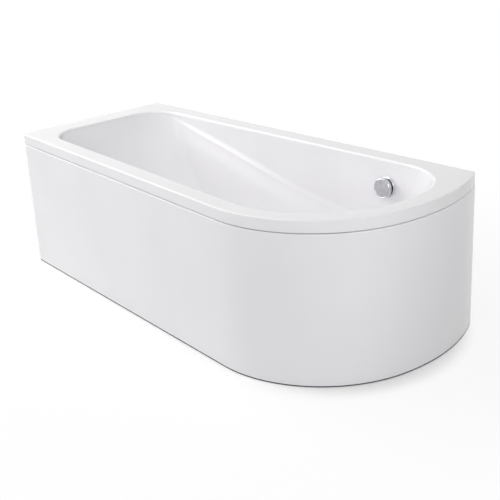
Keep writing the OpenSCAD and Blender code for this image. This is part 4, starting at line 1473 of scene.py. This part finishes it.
@dataclass
class PopUpWaste:
    """The domed plug with its stem, in millimetres; the flange on the floor keeps the CAD's shape."""

    plan: Plan
    plug_r: float = 30.0
    plug_height: float = 5.0
    boss_r: float = 18.0
    boss_height: float = 8.0
    stem_r: float = 4.0
    dome: float = 1.6
    turns: int = 112
    sharp: float = 40

    def build(self) -> None:
        """Builds the plug: a cap with a rolled edge, the boss under its seal and the stem."""
        low, top = (corner[2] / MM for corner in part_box("plug"))
        r, boss, stem, seat = self.plug_r, self.boss_r, self.stem_r, top - self.plug_height
        under = seat - self.boss_height
        line = softened(
            [
                (0, low), (stem - 0.6, low), (stem, low + 0.8), (stem, under), (boss - 1, under),
                (boss, under + 1), (boss, seat), (r - 0.8, seat), (r, seat + 0.8), (r, seat + 2.2),
                (r - 1.2, seat + 3),
            ],
            0.6,
        )
        dome = [(x, top - self.dome * (x / r) ** 2) for x in np.linspace(r - 2.4, 0, 14)]
        where = Matrix.Translation((*self.plan.waste, 0))
        cap = turned("plug_cap", [*line, *dome], where, self.turns, self.sharp)
        obj = dress(cap, "waste_plug", CHROME)
        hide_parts("plug")


# -------------------------------- feet and fixings


@dataclass
class Foot:
    """One levelling foot: a threaded stud; its pad keeps the CAD's shape."""

    name: str
    pitch: float = 2.0 * MM
    depth: float = 0.6 * MM
    chamfer: float = 1.2 * MM
    turns: int = 22
    rows: int = 5
    sharp: float = 30

    def build(self) -> None:
        """Cuts the thread along the stud and dresses it."""
        low, high = (np.array(corner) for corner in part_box(f"stud_{self.name}"))
        radius, centre = (high[0] - low[0]) / 2, (high + low) / 2
        heights = np.linspace(low[2], high[2], int((high[2] - low[2]) / self.pitch * self.rows))[:, None]
        angles = steps_to(math.tau, self.turns)
        ridge = np.abs(2 * ((heights / self.pitch - angles / math.tau) % 1) - 1)
        end = np.minimum(heights - low[2], high[2] - heights)
        reach = radius - np.maximum(self.depth * (1 - ridge), np.maximum(0, self.chamfer - end))
        rings = raised(centre[:2] + reach[..., None] * polar(angles), heights)
        stud = skinned(f"thread_{self.name}", [rings], self.sharp, loop=False)
        obj = dress(stud, f"foot_{self.name}", STEEL)
        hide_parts(f"stud_{self.name}")


@dataclass
class Nuts:
    """The hexagon nuts of the feet, with chamfered faces."""

    bore: float = 6.04 * MM
    flats: float = 19.0 * MM
    small: float = 0.5 * MM
    face: float = 0.98
    slant: float = 0.58
    steps: int = 72
    sharp: float = 25

    def one(self, low: Vector, high: Vector) -> np.ndarray:
        """Draws one nut.

        Args:
            low: lowest corner of its box.
            high: highest corner of its box.

        Returns:
            Its section at each angle.
        """
        centre, half, bore, small = (low + high) / 2, self.flats / 2, self.bore, self.small
        angle = steps_to(math.tau, self.steps)
        corner = half / np.cos((angle + math.pi / 6) % (math.pi / 3) - math.pi / 6)
        flat = half * self.face
        drop = (corner - flat) * self.slant
        radii = coords(bore, bore + small, flat, corner, corner, flat, bore + small, bore)
        down = coords(low.z + small, low.z, low.z, low.z + drop)
        up = coords(high.z - drop, high.z, high.z, high.z - small)
        turn = polar(angle + math.pi / 6)[:, None]
        return raised(np.array(centre[:2]) + radii[..., None] * turn, np.concatenate([down, up], -1))

    def build(self) -> None:
        """Builds all the nuts where the CAD has them."""
        stacks = [self.one(*box) for box in loose_boxes("lock_nuts")]
        obj = dress(skinned("lock_nut_set", stacks, self.sharp), "bath", STEEL)
        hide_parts("lock_nuts")


@dataclass
class Screws:
    """Pan-head screws that point up, with a cross recess, for one CAD node."""

    node: str
    body: str
    head: float = 2.5 * MM
    edge: float = 1.3 * MM
    dome: float = 0.9 * MM
    pitch: float = 1.6 * MM
    thread: float = 0.22
    recess: float = 1.54 * MM
    arm: tuple = (0.16, 0.6)
    dome_share: float = 0.9
    tip_share: float = 0.15
    rays: int = 48
    sharp: float = 30

    def one(self, low: Vector, high: Vector) -> np.ndarray:
        """Draws one screw.

        Args:
            low: lowest corner of its box.
            high: highest corner of its box.

        Returns:
            Its rings, from the head's middle to the tip.
        """
        radius, length, centre = (high.x - low.x) / 2, high.z - low.z, (low + high) / 2
        shank = radius / 2 - 0.05 * MM
        rows = [(x, self.dome * (x / radius) ** 3) for x in np.linspace(0, radius * self.dome_share, 12)[1:]]
        rows += [(radius, self.edge), (radius, self.head), (radius * 0.5, self.head)]
        rows += [(shank, z) for z in np.arange(self.head + 0.4 * MM, length - 2 * MM, self.pitch / 4)]
        rows = np.array([*rows, (shank * self.tip_share, length)])
        r, z, angle = rows[:, :1], rows[:, 1:], steps_to(math.tau, self.rays)
        sides = np.sort(r[..., None] * np.abs(polar(angle)), -1)
        arms = (sides[..., 0] < self.arm[0] * radius) & (sides[..., 1] < self.arm[1] * radius)
        recess = self.recess * (1 - sides[..., 1] / radius)
        lift = np.where(arms & (z < self.head / 2) & (r < radius * self.dome_share), recess, 0)
        ridge = np.abs(2 * ((z / self.pitch - angle / math.tau) % 1) - 1)
        reach = r - np.where((z > self.head) & (r >= shank), shank * self.thread * ridge, 0)
        return raised(np.array(centre[:2]) + reach[..., None] * polar(angle), low.z + z + lift)

    def build(self) -> None:
        """Builds all the screws of the node."""
        stacks = [self.one(*box) for box in loose_boxes(self.node)]
        obj = dress(skinned(f"{self.node}_heads", stacks, self.sharp, loop=False), self.body, STEEL)
        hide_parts(self.node)


# -------------------------------- carried-over nodes


@dataclass
class CarriedOver:
    """CAD nodes that keep their shape: a finish, and a small bevel on what is sawn or folded."""

    finishes: tuple = (
        (BOARD, "baseboard"),
        (ALONG_X, "front_rail back_rail floor_batten"),
        (ALONG_Y, "head_rail curved_rail floor_blocks"),
        (CLIP, "panel_clips"),
        (SHEET, "channel_head channel_tap hat_bracket wall_brackets"),
        (CHROME, "waste_flange"),
        (RUBBER, "flange_gasket floor_gasket plug_seal overflow_gasket"),
        (PIPE, "waste_body trap overflow_body overflow_pipe"),
        (NUT, "trap_nut outlet_nut pipe_nuts"),
        (STEEL, "overflow_spindle"),
        (PAD, "pad_head_wall pad_head_front pad_tap_wall pad_tap_front pad_middle"),
    )
    bevels: tuple = (
        (1.0 * MM, "baseboard"),
        (1.2 * MM, "front_rail back_rail head_rail"),
        (1.5 * MM, "floor_batten floor_blocks"),
        (0.5 * MM, "channel_head channel_tap hat_bracket"),
        (0.6 * MM, "wall_brackets"),
        (0.4 * MM, "panel_clips"),
    )
    bevel_angle: float = math.radians(50)

    def bevel(self, obj: bpy.types.Object, width: float) -> None:
        """Takes the edge off a node.

        Args:
            obj: the node's object.
            width: width of the bevel.
        """
        weld = obj.modifiers.new("weld", "WELD")
        weld.merge_threshold = MERGE
        bevel = obj.modifiers.new("worn_edge", "BEVEL")
        bevel.width = width
        bevel.segments = 2
        bevel.limit_method = "ANGLE"
        bevel.angle_limit = self.bevel_angle
        bevel.harden_normals = True

    def build(self) -> None:
        """Dresses each node and bevels some."""
        for finish, nodes in self.finishes:
            for node in nodes.split():
                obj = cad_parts[node]
                obj.data.materials.clear()
                obj.data.materials.append(finish.material())
                LOG.info("%s: %s", node, finish.name)
        for width, nodes in self.bevels:
            for node in nodes.split():
                self.bevel(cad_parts[node], width)


# -------------------------------- studio


@dataclass
class Studio:
    """A pale floor, soft lamps and the camera of the photograph."""

    plan: Plan
    camera_at: tuple = (2.5044, -2.0895, 1.4279)
    yaw: float = 138.698
    pitch: float = 21.115
    roll: float = -2.967
    lens: float = 70.97
    clip: tuple = (0.05, 200)
    sky: float = 0.10
    lit: tuple = (-0.005, 0.09)
    far: tuple = (0.3, 1.4)
    fade: float = 0.85
    glow: float = 0.10
    glow_from: tuple = (-0.12, 0.0)
    gentle: float = 0.6
    floor_size: float = 60.0
    floor_cloud: tuple = (0.7, 2.0)
    floor_dark: tuple = (0.69, 0.69, 0.69, 1)
    floor_pale: tuple = (0.71, 0.71, 0.71, 1)
    floor_shown: tuple = (0.9, 0.9, 0.9, 1)
    lamp_size: float = 3.0
    lamp_aim: tuple = (0, 0, 0.35)
    lamps: tuple = (
        ("front_key", (2.8, -3.6, 2.4), 80),
        ("right_fill", (4.5, 0.3, 2.5), 59),
        ("left_key", (-4.5, -0.8, 2.6), 90),
        ("left_fill", (-4.0, -2.8, 2.2), 71),
        ("high_left", (-1.8, -0.6, 4.2), 72),
        ("back_fill", (0.0, 4.6, 2.6), 12),
    )

    def camera(self) -> None:
        """Puts the camera where the photographer stood."""
        yaw, pitch, roll = (math.radians(part) for part in (self.yaw, self.pitch, self.roll))
        ahead = Vector((*(math.cos(pitch) * polar(yaw)), -math.sin(pitch)))
        level = ahead.cross(Vector((0, 0, 1))).normalized()
        upright = level.cross(ahead)
        right = level * math.cos(roll) + upright * math.sin(roll)
        above = upright * math.cos(roll) - level * math.sin(roll)
        data = bpy.data.cameras.new("camera")
        data.lens = self.lens
        data.clip_start, data.clip_end = self.clip
        obj = placed("camera", data)
        turn = Matrix((right, above, -ahead)).transposed().to_4x4()
        obj.matrix_world = Matrix.Translation(Vector(self.camera_at)) @ turn
        bpy.context.scene.camera = obj

    def lamp(self, name: str, spot: Sequence[float], power: float) -> None:
        """Hangs one soft lamp that points at the bath.

        Args:
            name: its name.
            spot: where it hangs.
            power: in watts.
        """
        data = bpy.data.lights.new(name, "AREA")
        data.shape = "SQUARE"
        data.size = self.lamp_size
        data.energy = power
        obj = placed(name, data)
        obj.location = spot
        obj.rotation_euler = (Vector(self.lamp_aim) - Vector(spot)).to_track_quat("-Z", "Y").to_euler()

    def world(self) -> None:
        """An even sky that looks white to the camera."""
        world = bpy.data.worlds.new("studio")
        bpy.context.scene.world = world
        graph = Graph(world)
        plain, white = (
            graph.node("ShaderNodeBackground", inputs={"Color": WHITE, "Strength": strength})
            for strength in (self.sky, 1.0)
        )
        mixed = graph.node("ShaderNodeMixShader", inputs={0: graph.shown(), 1: plain, 2: white})
        graph.node("ShaderNodeOutputWorld", inputs={"Surface": mixed})

    def outside(self, graph: Graph, point: Wire) -> Wire:
        """Distance of a point of the floor from the outline of the bath.

        On the open sides, at the room walls, it grows more gently and starts under the bath.

        Args:
            graph: where the nodes go.
            point: the point.

        Returns:
            The distance in metres, below zero under the bath.
        """
        plan = self.plan
        x, y = (graph.node("ShaderNodeSeparateXYZ", inputs={0: point}, output=axis) for axis in (0, 1))
        turn = polar(plan.knee_from)
        bend = plan.knee_c + plan.knee * turn
        front = (x - bend[0]) * turn[0] + (y - bend[1]) * turn[1]
        centre = (*plan.knee_c, 0)
        away = graph.node("ShaderNodeVectorMath", {"operation": "DISTANCE"}, {0: point, 1: centre}, "Value")
        curved = (x - bend[0]).ramp(-MERGE, MERGE)
        side = front + (away - plan.knee - front) * curved
        far = self.lit[1] * (1 - self.gentle)
        open_side = (y - plan.wall_y).larger(plan.head_x - x)
        return side.larger(open_side).larger(open_side * self.gentle + far)

    def floor_paint(self) -> bpy.types.Material:
        """Mixes a pale paper with its glow near the bath and pure white away from it.

        Returns:
            The floor's material.
        """
        material = bpy.data.materials.new("studio_floor")
        graph = Graph(material)
        point = graph.place()
        cloud = graph.blend(graph.noise(point, *self.floor_cloud), self.floor_dark, self.floor_pale)
        shown, outside = graph.shown(), self.outside(graph, point)
        matt = graph.node(
            "ShaderNodeBsdfDiffuse", inputs={"Color": graph.blend(shown, cloud, self.floor_shown)}
        )
        lift = outside.ramp(*self.glow_from, 0.0, self.glow) * shown
        glow, white = (graph.node("ShaderNodeEmission", inputs={"Strength": s}) for s in (lift, 1.0))
        near = graph.node("ShaderNodeAddShader", inputs={0: matt, 1: glow})
        away = outside.ramp(*self.lit, 0.0, self.fade) + outside.ramp(*self.far, 0.0, 1 - self.fade)
        both = graph.node("ShaderNodeMixShader", inputs={0: away * shown, 1: near, 2: white})
        graph.node("ShaderNodeOutputMaterial", inputs={"Surface": both})
        return material

    def floor(self) -> None:
        """A pale floor that keeps the shadow; its tone is lifted to white for the camera."""
        mesh = bmesh.new()
        bmesh.ops.create_grid(mesh, x_segments=2, y_segments=2, size=self.floor_size / 2)
        data = bpy.data.meshes.new("studio_floor")
        mesh.to_mesh(data)
        mesh.free()
        obj = placed("studio_floor", data)
        obj.data.materials.append(self.floor_paint())

    def build(self) -> None:
        """Sets up everything that isn't the bath."""
        self.camera()
        self.world()
        self.floor()
        for lamp in self.lamps:
            self.lamp(*lamp)
        bpy.context.scene.view_settings.view_transform = "Standard"


def main() -> None:
    """Builds the bath and its studio."""
    logging.basicConfig(level=logging.INFO, format="%(name)s: %(message)s")
    plan = Plan()
    TubShell(Stations(plan)).build()
    FrontPanel(plan).build()
    OverflowControl(plan).build()
    PopUpWaste(plan).build()
    for name in ("head_wall", "head_front", "tap_wall", "tap_front", "middle"):
        Foot(name).build()
    Nuts().build()
    for node in ("clip_screws", "frame_screws", "bracket_screws"):
        Screws(node, "bath").build()
    CarriedOver().build()
    Studio(plan).build()


if __name__ == "__main__":
    main()
